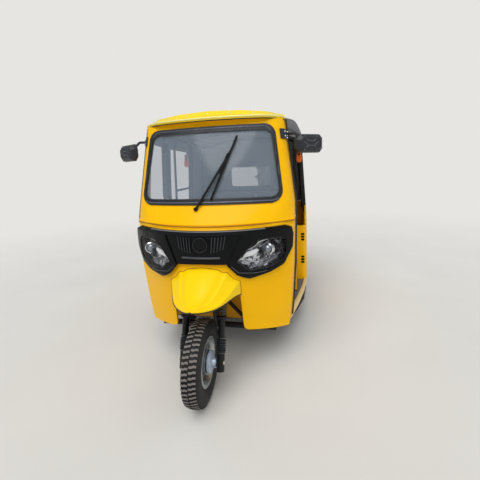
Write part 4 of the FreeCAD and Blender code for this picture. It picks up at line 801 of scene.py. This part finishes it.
# Fender: a fixed pressed beak over the wheel, in a brighter copy of the cab's yellow that is painted light on
# its upward-facing top, with a raised middle between two creases and fluted flanks; a black rubber strip is
# pushed over its lower edge.
# columns: y, half width, edge z, shoulder z, ridge x, ridge z, crown z
fender_rows = [
    (-145.0, 12.0, 628.0, 632.0, 8.0, 635.0, 636.0),
    (-130.0, 33.0, 621.0, 629.0, 25.0, 636.0, 641.0),
    (-100.0, 67.0, 612.0, 621.0, 54.0, 634.0, 654.0),
    (-60.0, 112.0, 609.0, 620.0, 86.0, 641.0, 680.0),
    (-10.0, 151.0, 614.0, 634.0, 110.0, 671.0, 716.0),
    (50.0, 181.0, 621.0, 655.0, 134.0, 709.0, 760.0),
    (100.0, 204.0, 623.0, 682.0, 147.0, 747.0, 793.0),
    (150.0, 228.0, 616.0, 705.0, 158.0, 785.0, 822.0),
]
beak_tip, beak_root = fender_rows[0][0], fender_rows[-1][0]
fender_places, creased_places = 9, {2, 4, 6, 10, 12, 14}


def fender_point(row, column):
    """One of nine places across the left half of a row, from the lower edge to the crown."""
    y, half, edge_z, shoulder_z, ridge_x, ridge_z, crown_z = row
    rise = crown_z - ridge_z
    wide = min(1.0, half / 110)
    x, z = [
        (half, edge_z),
        (half + 0.5, (edge_z + shoulder_z) / 2),
        (half, shoulder_z),
        ((half + ridge_x) / 2, (shoulder_z + ridge_z) / 2 - 6.0 * wide),
        (ridge_x, ridge_z + 2.0 * wide),
        (ridge_x * 0.86, ridge_z + rise * 0.26 - 7.5 * wide),
        (ridge_x * 0.66, ridge_z + rise * 0.56 + 3.0 * wide),
        (ridge_x * 0.34, ridge_z + rise * 0.885 + 0.5 * wide),
        (0.0, crown_z),
    ][column]
    return x, y, z


def fender_run(column, count=15):
    """Points along one column, from where it meets the cab forward to the tip."""
    last = beak_root
    for step in range(60):
        x, y, z = fender_point(row_at(fender_rows, last), column)
        if nose_y(x, z) >= last - 1:
            break
        last -= 2.0
    last = min(beak_root + 2, last + 2.0)
    places = [last + (beak_tip - last) * (i / (count - 1)) ** 0.9 for i in range(count)]
    return [fender_point(row_at(fender_rows, y), column) for y in places]


def grid_of(rows):
    """A sheet through rows of points, in millimetres."""
    wide = len(rows[0])
    made = added(bpy.ops.mesh.primitive_grid_add, x_subdivisions=wide - 1, y_subdivisions=len(rows) - 1,
                 size=0.2)
    for index, vertex in enumerate(made.data.vertices):
        vertex.co = mm(*rows[index // wide][index % wide])
    return made


runs = [fender_run(column) for column in range(fender_places)]
across_runs = [[(-x, y, z) for x, y, z in run] for run in runs] + runs[-2::-1]
beak = grid_of([[run[k] for run in across_runs] for k in reversed(range(len(runs[0])))])
opened()
shape = bmesh.from_edit_mesh(beak.data)
for edge in shape.edges:
    a, b = [vertex.index % len(across_runs) for vertex in edge.verts]
    edge.select_set(a == b and a in creased_places)
bpy.ops.transform.edge_crease(value=0.55)
closed()
applied(beak, "SUBSURF", levels=3, render_levels=3)
applied(beak, "SOLIDIFY", thickness=0.004, offset=-1)
# A lighter copy of the cab's yellow: painted light on the fender's upward-facing top.
fender_yellow_painted_light = finish("painted_light_yellow_enamel", "#FFDA00", "#FFD000", 300, 6, 0.3, 0.03,
                      specular_ior_level=0.15, coat_weight=0.1, coat_roughness=0.05)
wanted(beak, "pressed_fender", "body", "body_paint", fender_yellow_painted_light)
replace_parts(beak, "front_fender")
edge_left = [(x, y, z - 1.5) for x, y, z in runs[0]]
edge_run = edge_left + [(0, -149.5, 630.0)] + [(-x, y, z) for x, y, z in reversed(edge_left)]
tube("fender_edge_strip", edge_run, 3.6, *seal_bead)
# Along each root of the fender, where it meets the cab, the same amber line is painted shade.
for flip, where in ((1, "left"), (-1, "right")):
    root = [(flip * x, y - 1, z) for x, y, z in (run[0] for run in runs)]
    tube("fender_root_joint_" + where, root, 2.6, "body", "seal_rubber", joint_painted_shade)

# Visor: a bright yellow plastic peak riveted over the header, with a pale painted highlight along the fold of
# its lower lip, and a black rubber strip below it.
visor_yellow = finish("gloss_visor_plastic", "#FFE414", "#FADA0C", 600, 3, 0.28, 0.01,
                      specular_ior_level=0.2, coat_weight=0.15)
wear_finish(visor_yellow, "roof_visor")
# columns: x, front y, lip z, crown z
visor_rows = [(0.0, 372.0, 1712.0, 1779.0), (220.0, 388.0, 1712.0, 1773.0), (380.0, 425.0, 1712.0, 1760.0),
              (465.0, 480.0, 1711.0, 1747.0), (505.0, 535.0, 1708.0, 1735.0)]
lip_spots = [(x, *row_at(visor_rows, abs(x))[1:3]) for x in range(-500, 501, 25)]
visor_lip_painted_highlight = finish("painted_highlight_visor_lip", "#FBF0A0", "#F3E47C", 200, 8, 0.3, 0.03)
tube("visor_lip", [(x, y - 0.5, lip + 13) for x, y, lip in lip_spots], 6.5, "body", "visor_plastic", visor_lip_painted_highlight)
tube("visor_strip", [(x, y + 5, lip - 1.5) for x, y, lip in lip_spots], 5.0, *seal_bead)
rivet_steel = finish("bright_rivet_steel", "#E8E8E8", "#BFBFBF", 10, 2, 0.2, 0.05, metallic=1.0)
rivets = []
for x in (-435, -300, -150, 0, 150, 300, 435):
    front, lip, crown = row_at(visor_rows, abs(x))[1:]
    low = Vector((front + 10, lip + 0.38 * (crown - lip) + 4))
    high = Vector((min(front + 58, 552), crown))
    rivets.append(added(bpy.ops.mesh.primitive_uv_sphere_add, segments=16, ring_count=8, radius=0.0065,
                        location=mm(x, *low.lerp(high, 0.42)), rotation=(math.radians(35), 0, 0),
                        scale=(1, 1, 0.6)))
wanted(joined(rivets), "visor_rivets", "body", "visor_plastic", rivet_steel)

# Floor: chequered steel plate, welded to the chassis and sprayed grey; its raised ribs are worn paler
# and catch the light.
plate_grey, tree, shader, place = blank("chequered_floor_plate")
turned = node(tree, "ShaderNodeMapping", inputs={"Rotation": (0, 0, math.radians(45))},
              links={"Vector": place})
ribs = node(tree, "ShaderNodeTexBrick", {"offset": 0.5},
            {"Scale": 1.0, "Mortar Size": 0.0055, "Mortar Smooth": 0.4, "Brick Width": 0.034,
             "Row Height": 0.014, "Color1": (1, 1, 1, 1), "Color2": (0.9, 0.9, 0.9, 1),
             "Mortar": (0, 0, 0, 1)}, {"Vector": turned.outputs[0]})
worn = node(tree, "ShaderNodeMix", {"data_type": "RGBA"}, {6: linear("#6B7073"), 7: linear("#8E9396")},
            {0: ribs.outputs["Color"]})
raised = node(tree, "ShaderNodeBump", inputs={"Strength": 0.8, "Distance": 0.0015},
              links={"Height": ribs.outputs["Color"]})
feed(tree, shader, base_color=worn.outputs[2], normal=raised.outputs["Normal"])
gloss(shader, roughness=0.55, metallic=0.3)
wear_finish(plate_grey, "floor_pan")

# Tail lamps: red lenses screwed to the rear panel, with moulded bars across a clear, a red and an amber
# field; a plated pull is screwed to the engine lid between them.
tail_red = finish("red_lamp_lens", "#C21A14", "#8E0F0C", 60, 4, 0.15, 0.05, coat_weight=0.8)
wear_finish(tail_red, "tail_lamps")
amber = finish("amber_lamp_lens", "#F08A1C", "#D06C10", 60, 4, 0.15, 0.05, coat_weight=0.8)
white_lens = finish("clear_lamp_lens", "#E7E9EA", "#C8CBCD", 60, 4, 0.12, 0.05, coat_weight=0.8)
# columns: lens, radius, heights
lamp_fields = [(white_lens, 4.0, (706, 722)), (amber, 4.0, (826, 838, 812)),
               (tail_red, 3.0, (742, 756, 770, 784, 798))]
for flip, where in ((-1, "right"), (1, "left")):
    bars = [tube("lamp_bar", [(flip * 388, 2352, z), (flip * 460, 2352, z)], radius, "body", "tail_plastic",
                 lens) for lens, radius, heights in lamp_fields for z in heights]
    placed(joined(bars), "tail_lamp_bars_" + where, "body", "tail_plastic")
tube("lid_pull", [(-60, 2333, 500), (-60, 2352, 500), (60, 2352, 500), (60, 2333, 500)], 5.0, "lid",
     "rim_silver", rivet_steel)

# Mirrors: grained black shells; raised ribs, grey as a painted highlight, cross the back of each shell, and
# plated bolts hold the bracket to the pillar.
shell_black = finish("grained_mirror_shell", "#2B2E34", "#1F2126", 60, 1.8, 0.4, 0.25,
                     specular_ior_level=0.4)
wear_finish(shell_black, "mirror_left", "mirror_right")
mirror_x, mirror_y, mirror_z, toe = 652, 522, 1538, math.radians(31)


def mirror_spot(u, v, out):
    """A place on the back of the left mirror's shell: u across, v up, out forward of it."""
    x = mirror_x + u * math.cos(toe) + out * math.sin(toe)
    y = mirror_y + u * math.sin(toe) - out * math.cos(toe)
    return (x, y, mirror_z + v)


shell_ribs = []
for line in ([(-52, 50), (-26, 14), (26, 14), (54, 50)], [(-52, -50), (-24, -16), (24, -16), (52, -50)],
             [(-78, 12), (-44, 2), (-24, -16)], [(80, 12), (46, 2), (24, -16)]):
    run = [mirror_spot(u, v, 44.0 if max(abs(u), abs(v) * 1.4) < 60 else 36.0) for u, v in line]
    shell_ribs.append(tube("mirror_rib", run, 3.4, *trim, grey_edge_painted_highlight))
plates = []
for flip in (1, -1):
    plate = grid_of([[(flip * x, y, z) for x, y, z in round_corner(z, 2.2)[3:9]]
                     for z in range(1574, 1641, 11)])
    if flip < 0:
        plate.data.flip_normals()
    applied(plate, "SOLIDIFY", thickness=0.003, offset=1)
    plate.data.materials.append(shell_black)
    plates.append(plate)
    for z in (1622, 1592):
        x, y, z = round_corner(z, 6.5)[6]
        head = added(bpy.ops.mesh.primitive_uv_sphere_add, segments=12, ring_count=8, radius=0.0075,
                     location=mm(flip * x, y, z), scale=(0.8, 0.8, 1))
        head.data.materials.append(rivet_steel)
        plates.append(head)
wanted(joined(plates), "mirror_bracket_plates", *trim)
bolt_spots = [(534, 1622), (534, 1584), (548, 1603)]
bolts = [hexagon(mm(518.5, y, z), 0.0065, 0.006, 0.001, 1) for y, z in bolt_spots]
for bolt in bolts:
    bolt.data.materials.append(rivet_steel)
ribs_left = joined(shell_ribs + bolts)
bpy.ops.object.transform_apply(location=True, rotation=True, scale=True)
for thing, where in ((ribs_left, "left"), (mirrored(ribs_left), "right")):
    placed(thing, "mirror_ribs_" + where, *trim)
mirror_silver = finish("silvered_mirror_glass", "#DDE3E8", "#C9D0D6", 80, 6, 0.04, 0.02, metallic=1.0)
glass_ring = [(-99, 24), (-71, 54), (79, 54), (99, 33), (99, -33), (83, -54), (-65, -54), (-99, -27)]
glass_left = face_of([mm(*mirror_spot(u, v, 2.4)) for u, v in glass_ring])
opened()
bpy.ops.mesh.inset(thickness=0.004, depth=-0.0008)
closed()
facing(glass_left, 1)
for thing, where in ((glass_left, "left"), (mirrored(glass_left), "right")):
    wanted(thing, "mirror_glass_" + where, "body", "lamp_reflector", mirror_silver)

# Canopy: coated cloth, black outside with a light grey lining, stretched over the hoops in one piece and
# closed at the back round a clear window; the right-hand doorway is partly closed by the same cloth.
# columns: y, foot x, shoulder x, shoulder z, roof x, roof z, crown z
canopy_rows = [
    (560.0, 545.0, 512.0, 1655.0, 440.0, 1745.0, 1790.0),
    (1000.0, 645.0, 610.0, 1660.0, 530.0, 1785.0, 1830.0),
    (1350.0, 680.0, 640.0, 1665.0, 550.0, 1790.0, 1836.0),
    (1800.0, 688.0, 648.0, 1660.0, 555.0, 1785.0, 1830.0),
    (2260.0, 680.0, 632.0, 1620.0, 530.0, 1740.0, 1785.0),
    (2328.0, 650.0, 600.0, 1590.0, 500.0, 1700.0, 1740.0),
]
canopy_front, canopy_back, canopy_foot = 560.4, 2328, 961.0
hoops_at = (560, 968, 1773, 2188, canopy_back)
foot_line = 960
back_bulge, back_width = 5.0, 1290


def canopy_side(y, z):
    """The canopy's half width at a height below its shoulder."""
    row = row_at(canopy_rows, y)
    return row[2] + (row[1] - row[2]) * (row[3] - z) / (row[3] - foot_line)


def canopy_half(y):
    """Points up the left side, round the shoulder and over to the middle of the roof."""
    foot_x, shoulder_x, shoulder_z, roof_x, roof_z, crown_z = row_at(canopy_rows, y)[1:7]
    for start, end in zip(hoops_at, hoops_at[1:]):
        if start <= y <= end:
            break
    slack = math.sin(math.pi * (y - start) / (end - start)) ** 2
    points = []
    for i in range(13):
        z = canopy_foot + (shoulder_z - canopy_foot) * i / 12
        points.append((canopy_side(y, z), z))
    drop = crown_z - roof_z
    radius = (roof_x ** 2 + drop ** 2) / (2 * drop)
    lean = (foot_x - shoulder_x) / (shoulder_z - foot_line)
    corner_x = shoulder_x - lean * (roof_z - shoulder_z)
    corner_z = roof_z - (roof_x / (radius - drop)) * (corner_x - roof_x)
    a, b = Vector((shoulder_x, shoulder_z)), Vector((roof_x, roof_z))
    control = Vector((corner_x, corner_z))
    for i in range(1, 8):
        t = i / 8
        spot = a * (1 - t) ** 2 + control * 2 * t * (1 - t) + b * t ** 2
        points.append((spot.x, spot.y - 1.5 * slack * t))
    for i in range(11):
        x = roof_x * (1 - i / 10)
        z = crown_z - radius + math.sqrt(radius ** 2 - x ** 2)
        ripple = 0.8 * math.sin(y / 47 + x / 90) * slack
        points.append((x, z - (1.5 + 4.0 * math.sin(math.pi * 0.5 * i / 10)) * slack + ripple))
    return points


stations = [canopy_front + (canopy_back - canopy_front) * i / 48 for i in range(49)]
hoop_rings = []
for y in stations:
    half = canopy_half(y)
    hoop_rings.append([(-x, y, z) for x, z in half] + [(x, y, z) for x, z in reversed(half[:-1])])
shell = grid_of(hoop_rings)
wall_rows = []
for x, z in canopy_half(canopy_back):
    swell = back_bulge * min(1, (z - foot_line) / 200)
    wall_rows.append([(x * (i / 8 - 1), canopy_back - swell * math.sin(math.pi * i / 16) ** 2, z)
                      for i in range(17)])
back = grid_of(wall_rows)
back.data.flip_normals()
canopy = joined([shell, back])
opened()
bpy.ops.mesh.remove_doubles(threshold=0.0004)
closed(outward=True)
canopy_cloth, tree, shader, place = blank("coated_canopy_cloth")
weave = node(tree, "ShaderNodeTexWave", {"bands_direction": "X"}, {"Scale": 110.0}, {"Vector": place})
weft = node(tree, "ShaderNodeTexWave", {"bands_direction": "Y"}, {"Scale": 110.0}, {"Vector": place})
cross = node(tree, "ShaderNodeMath", {"operation": "ADD"}, links={0: weave.outputs["Fac"],
                                                                 1: weft.outputs["Fac"]})
creased = node(tree, "ShaderNodeTexNoise", inputs={"Scale": 5.0, "Detail": 5.0}, links={"Vector": place})
tone = node(tree, "ShaderNodeMix", {"data_type": "RGBA"}, {6: linear("#1D1E21"), 7: linear("#303236")},
            {0: creased.outputs["Fac"]})
threads = node(tree, "ShaderNodeBump", inputs={"Strength": 0.25, "Distance": 0.0006},
               links={"Height": cross.outputs[0]})
folds = node(tree, "ShaderNodeBump", inputs={"Strength": 0.5, "Distance": 0.006},
             links={"Height": creased.outputs["Fac"], "Normal": threads.outputs["Normal"]})
feed(tree, shader, base_color=tone.outputs[2], normal=folds.outputs["Normal"])
gloss(shader, roughness=0.5, sheen_weight=0.2)
lining = finish("grey_felt_lining", "#A3A9AE", "#8F959A", 240, 2.5, 0.9, 0.35)
canopy.data.materials.append(canopy_cloth)
canopy.data.materials.append(lining)
applied(canopy, "BEVEL", width=0.022, segments=4, limit_method="ANGLE", angle_limit=math.radians(48))
applied(canopy, "SOLIDIFY", thickness=0.003, offset=-1, material_offset=1)


def rounded(points):
    """An outline of (u, v, corner radius) with its corners turned into arcs."""
    found = []
    for i, (u, v, radius) in enumerate(points):
        here = Vector((u, v))
        if radius == 0:
            found.append(here)
            continue
        before = (Vector(points[i - 1][:2]) - here).normalized()
        after = (Vector(points[(i + 1) % len(points)][:2]) - here).normalized()
        half = before.angle(after) / 2
        reach = radius / math.tan(half)
        middle = here + (before + after).normalized() * radius / math.sin(half)
        start, end = here + before * reach - middle, here + after * reach - middle
        for step in range(9):
            found.append(middle + start.normalized().slerp(end.normalized(), step / 8) * radius)
    return found


def cut_out(thing, outline, low, high, crosswise):
    """Cuts a prism through a piece: an outline in (y, z) carried along x, or in (x, z) along y."""
    knife = face_of([mm(low, u, v) if crosswise else mm(u, low, v) for u, v in outline])
    reach = (high - low) / 1000
    carry = (reach, 0, 0) if crosswise else (0, reach, 0)
    opened()
    bpy.ops.mesh.extrude_region_move(TRANSFORM_OT_translate={"value": carry})
    closed(outward=True)
    applied(thing, "BOOLEAN", operation="DIFFERENCE", object=knife, solver="EXACT")
    bpy.data.objects.remove(knife)


left_door = rounded([(300, 900, 0), (1760, 900, 0), (1760, 1612, 110), (300, 1612, 0)])
right_door = rounded([(300, 900, 0), (1760, 900, 0), (1760, 1612, 110), (1190, 1612, 0), (1190, 1140, 12),
                      (955, 1140, 60), (955, 1612, 0), (300, 1612, 0)])
window = rounded([(-270, 1165, 45), (270, 1165, 45), (270, 1425, 45), (-270, 1425, 45)])
cut_out(canopy, left_door, 300, 900, True)
cut_out(canopy, right_door, -900, -300, True)
cut_out(canopy, window, 2250, 2400, False)
bpy.ops.object.transform_apply(location=True, rotation=True, scale=True)
bpy.ops.object.shade_smooth_by_angle(angle=math.radians(40))
placed(canopy, "canopy_cover", "body", "canopy_cloth")
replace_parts(canopy, "canopy")

# Canopy hems: woven tape folded over each edge and stitched, piping along the shoulder seams, and plated
# snaps that hold the cloth to the tub.
hem_black = finish("woven_hem_tape", "#2B2D30", "#1D1E20", 30, 1.8, 0.75, 0.4)
hem = ("body", "canopy_cloth", hem_black)
shoulders = [(y, *row_at(canopy_rows, y)[2:4]) for y in stations[1:-1]]
for flip, door, where in ((1, left_door, "left"), (-1, right_door, "right")):
    run = [(canopy_side(1760, 965), 1760, 965)]
    run += [(canopy_side(y, min(z, 1640)) - 0.5, y, z) for y, z in door if z > 950 and y > 400]
    run += [(canopy_side(564, 1612), 564, 1612)]
    tube("doorway_hem_" + where, [(flip * x, y, z) for x, y, z in run], 4.0, *hem)
    tube("shoulder_piping_" + where, [(flip * (x + 0.3), y, z) for y, x, z in shoulders], 2.4, *hem)
    tube("foot_hem_" + where, [(flip * (canopy_side(y, 966) + 0.4), y, 968.0) for y in range(1764, 2328, 40)],
         4.5, *hem)
tube("rear_foot_hem", [(x, canopy_back + 0.5, 968.0) for x in range(-640, 641, 80)], 4.5, *hem)
tube("window_hem", [(u, canopy_back - back_bulge * math.cos(math.pi * u / back_width) ** 2, v)
                    for u, v in window], 4.5, *hem, ring=True)
snap_z = 985
snap_spots = [(mm(flip * (canopy_side(y, snap_z) + 1), y, snap_z), (0.45, 1, 1))
              for flip in (-1, 1) for y in range(1800, 2290, 95)]
snap_spots += [(mm(x, canopy_back + 0.5, snap_z), (1, 0.45, 1)) for x in range(-560, 561, 140)]
snaps = [added(bpy.ops.mesh.primitive_uv_sphere_add, segments=14, ring_count=8, radius=0.007,
               location=spot, scale=size) for spot, size in snap_spots]
wanted(joined(snaps), "cover_snaps", "body", "rim_silver", rivet_steel)

# Rear window: clear plastic film, sewn into the canopy's back; its crinkles run all over it, the crests of
# them painted paler as a painted highlight, and it is milky where it lies doubled.
window_film, tree, shader, place = blank("clear_window_film")
crinkle = node(tree, "ShaderNodeTexNoise", inputs={"Scale": 14.0, "Detail": 3.0, "Distortion": 1.0},
               links={"Vector": place})
warp = node(tree, "ShaderNodeBump", inputs={"Strength": 0.5, "Distance": 0.004},
            links={"Height": crinkle.outputs["Fac"]})
sides = node(tree, "ShaderNodeSeparateXYZ", links={0: place})
ragged = node(tree, "ShaderNodeMath", {"operation": "MULTIPLY_ADD"}, {1: 0.12, 2: -0.06},
              {0: crinkle.outputs["Fac"]})
edge = node(tree, "ShaderNodeMath", {"operation": "ADD"}, links={0: sides.outputs["X"],
                                                                1: ragged.outputs[0]})
doubled = node(tree, "ShaderNodeMapRange", inputs={"From Min": 0.070, "From Max": 0.085, "To Min": 0.2,
                                                   "To Max": 0.7}, links={"Value": edge.outputs[0]})
fold_painted_highlights = node(tree, "ShaderNodeMapRange", {"interpolation_type": "SMOOTHSTEP"},
                 {"From Min": 0.5, "From Max": 0.62}, {"Value": crinkle.outputs["Fac"]})
tone = node(tree, "ShaderNodeMix", {"data_type": "RGBA"}, {6: linear("#747D87"), 7: linear("#AEB5BD")},
            {0: fold_painted_highlights.outputs["Result"]})
feed(tree, shader, base_color=tone.outputs[2], normal=warp.outputs["Normal"],
     alpha=doubled.outputs["Result"])
gloss(shader, roughness=0.12)
wear_finish(window_film, "rear_window")

# Grab straps: orange woven webbing folded into a loop, which hangs by a short cord from the roof tube
# over each doorway.
orange_web = finish("orange_webbing", "#FF8024", "#EE6410", 12, 1.6, 0.8, 0.6)
cord_white = finish("braided_cord", "#D8D6D0", "#B9B6AE", 8, 1.5, 0.8, 0.5)
strap_x, strap_y, strap_z = 618, 1585, 1522
strap_outline = rounded([(-14, -70, 12), (14, -70, 12), (12, -20, 9), (4, -4, 6), (4, 42, 3), (-4, 42, 3),
                         (-4, -4, 6), (-12, -20, 9)])
for flip, where in ((1, "left"), (-1, "right")):
    loop, path = path_of("strap", [(flip * (strap_x + u), strap_y, strap_z + v) for u, v in strap_outline],
                         ring=True)
    loop.extrude = 0.0125
    loop.bevel_depth = 0.0022
    wanted(as_mesh("strap", loop), "grab_strap_" + where, "body", "seat_cover", orange_web)
    tube("grab_strap_tie_" + where, [(flip * strap_x, strap_y, 1561), (flip * 616, strap_y + 1, 1600),
                                     (flip * 604, strap_y + 3, 1690)],
         3.0, "body", "seat_cover", cord_white, smooth=True)


# Seats: foam cushions in a dark coated cover, welted at their edges and stitched into channels. The cover
# has a fine grain, and the clear film it is delivered in still lies over it, loosest on the back rests; thin
# light lines along the film's crinkles are painted highlights, strongest on the back rests.
def film_covered(name, dark, light, crinkle_highlight_strength):
    """Grained seat cloth under its clear delivery film, with painted highlights in thin lines along its
    crinkles.
    """
    made, tree, shader, place = blank(name)
    pebble = node(tree, "ShaderNodeTexVoronoi", inputs={"Scale": 260.0}, links={"Vector": place})
    shiny = node(tree, "ShaderNodeTexNoise", inputs={"Scale": 7.0, "Detail": 2.0, "Distortion": 1.2},
                 links={"Vector": place})
    tone = node(tree, "ShaderNodeMix", {"data_type": "RGBA"}, {6: linear(dark), 7: linear(light)},
                {0: shiny.outputs["Fac"]})
    offset = node(tree, "ShaderNodeMath", {"operation": "SUBTRACT"}, {1: 0.5}, {0: shiny.outputs["Fac"]})
    apart = node(tree, "ShaderNodeMath", {"operation": "ABSOLUTE"}, links={0: offset.outputs[0]})
    line = node(tree, "ShaderNodeMapRange", inputs={"From Min": 0.0, "From Max": 0.016, "To Min": crinkle_highlight_strength,
                                                    "To Max": 0.0}, links={"Value": apart.outputs[0]})
    painted_crinkle_highlights = node(tree, "ShaderNodeMix", {"data_type": "RGBA"}, {7: linear("#B9BEC6")},
                 {0: line.outputs["Result"], 6: tone.outputs[2]})
    leather = node(tree, "ShaderNodeBump", inputs={"Strength": 0.3, "Distance": 0.001},
                   links={"Height": pebble.outputs["Distance"]})
    drape = node(tree, "ShaderNodeBump", inputs={"Strength": 0.35, "Distance": 0.008},
                 links={"Height": shiny.outputs["Fac"], "Normal": leather.outputs["Normal"]})
    feed(tree, shader, base_color=painted_crinkle_highlights.outputs[2], normal=drape.outputs["Normal"])
    gloss(shader, roughness=0.38, coat_weight=0.35, coat_roughness=0.12)
    return made


seat_cover = film_covered("coated_seat_cover", "#34383C", "#4A4F54", 0.12)
wrapped_cover = film_covered("film_wrapped_back_rest", "#51565D", "#6A7078", 0.55)
welt_grey = finish("seat_welt_cord", "#2E3134", "#222427", 20, 1.8, 0.5, 0.3)
channel_depth, channel_width = 0.007, 9.0


def stuffed(name, corners, voxel, cap, channels, axis, cover):
    """A cushion from eight corners: swollen by pressure, capped, then stitched along channels."""
    pad = added(bpy.ops.mesh.primitive_cube_add, size=1)
    for vertex in pad.data.vertices:
        index = 4 * (vertex.co.x > 0) + 2 * (vertex.co.y > 0) + (vertex.co.z > 0)
        vertex.co = mm(*corners[index])
    bevelled(0.02, 4)
    applied(pad, "REMESH", mode="VOXEL", voxel_size=voxel)
    rest = [vertex.co.copy() for vertex in pad.data.vertices]
    swell = pad.modifiers.new("swell", "CLOTH")
    swell.settings.use_pressure = True
    swell.settings.uniform_pressure_force = 4.0
    swell.settings.effector_weights.gravity = 0.0
    swell.settings.quality = 4
    for number in range(1, 21):
        bpy.context.scene.frame_set(number)
    alone(pad)
    bpy.ops.object.modifier_apply(modifier="swell")
    bpy.context.scene.frame_set(1)
    low_y, high_y = min(c.y for c in rest), max(c.y for c in rest)
    low_z, high_z = min(c.z for c in rest), max(c.z for c in rest)
    for vertex, home in zip(pad.data.vertices, rest):
        move = vertex.co - home
        if move.length > cap:
            move = move.normalized() * cap
        spot = home + move
        dent = channel_depth * sum(math.exp(-((spot.x * 1000 - line) / channel_width) ** 2)
                                   for line in channels)
        if axis == "z":
            spot.z = max(spot.z, low_z)
            if (spot.z - low_z) / (high_z - low_z) > 0.55:
                spot.z -= dent
        else:
            spot.y = min(spot.y, high_y + 0.001)
            if (high_y - spot.y) / (high_y - low_y) > 0.55:
                spot.y += dent
        vertex.co = spot
    applied(pad, "SUBSURF", levels=1, render_levels=1)
    wanted(pad, name, "body", "seat_cover", cover)
    return pad


def block(x, y0, y1, z0, z1, lean_front=0.0, lean_back=0.0, top=None):
    """Corners in the order that stuffed() reads: x, then y, then z."""
    top = x if top is None else top
    return [(-x, y0, z0), (-top, y0 + lean_front, z1), (-x, y1, z0), (-top, y1 + lean_back, z1),
            (x, y0, z0), (top, y0 + lean_front, z1), (x, y1, z0), (top, y1 + lean_back, z1)]


bench_channels, driver_channels = (-360, -180, 0, 180, 360), (-90, 90)
bench = stuffed("bench_cushion", block(540, 1256, 1762, 602, 716), 0.011, 0.012, bench_channels, "z",
                seat_cover)
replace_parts(bench, "passenger_seat_cushion")
bench_back = stuffed("bench_back_rest", block(540, 1814, 1900, 736, 1134, 44, 6), 0.011, 0.012,
                     bench_channels, "y", wrapped_cover)
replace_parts(bench_back, "passenger_seat_back")
driver_pad = stuffed("driver_cushion", block(252, 710, 955, 612, 704), 0.008, 0.009, driver_channels, "z",
                     seat_cover)
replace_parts(driver_pad, "driver_seat_cushion")
driver_rest = stuffed("driver_back_rest", block(266, 928, 976, 888, 1182, 0, 0, 250), 0.008, 0.008,
                      driver_channels, "y", wrapped_cover)
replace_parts(driver_rest, "driver_seat_back")
# columns: name, half length, y, z, radius
welts = [("bench_welt", 540, 1250, 700, 3.5), ("bench_back_welt", 536, 1862, 1142, 3.5),
         ("driver_welt", 246, 705, 690, 3.0)]
for name, reach, y, z, radius in welts:
    tube(name, [(-reach, y, z), (reach, y, z)], radius, "body", "seat_cover", welt_grey)

# Controls: levers of cast alloy, which pivot on the handlebar, and one round instrument with a bright
# ring, pressed into the hood.
for flip, where in ((1, "left"), (-1, "right")):
    tube("hand_lever_" + where, [(flip * 120, 388, 1016), (flip * 142, 374, 1014), (flip * 176, 380, 1010),
                                 (flip * 214, 402, 1004)], 4.5, "steering", "brake_alloy", rim_silver,
         smooth=True)
dial_outline = [(0, 0.0005), (0, 0.046), (0.006, 0.05), (0.012, 0.05), (0.012, 0.044), (0.004, 0.042),
                (0.004, 0.0005)]
wanted(lathe(dial_outline, mm(0, 238, 985), (0, 1, 0.17), 40), "instrument_dial", "body", "dash_plastic",
       chrome)
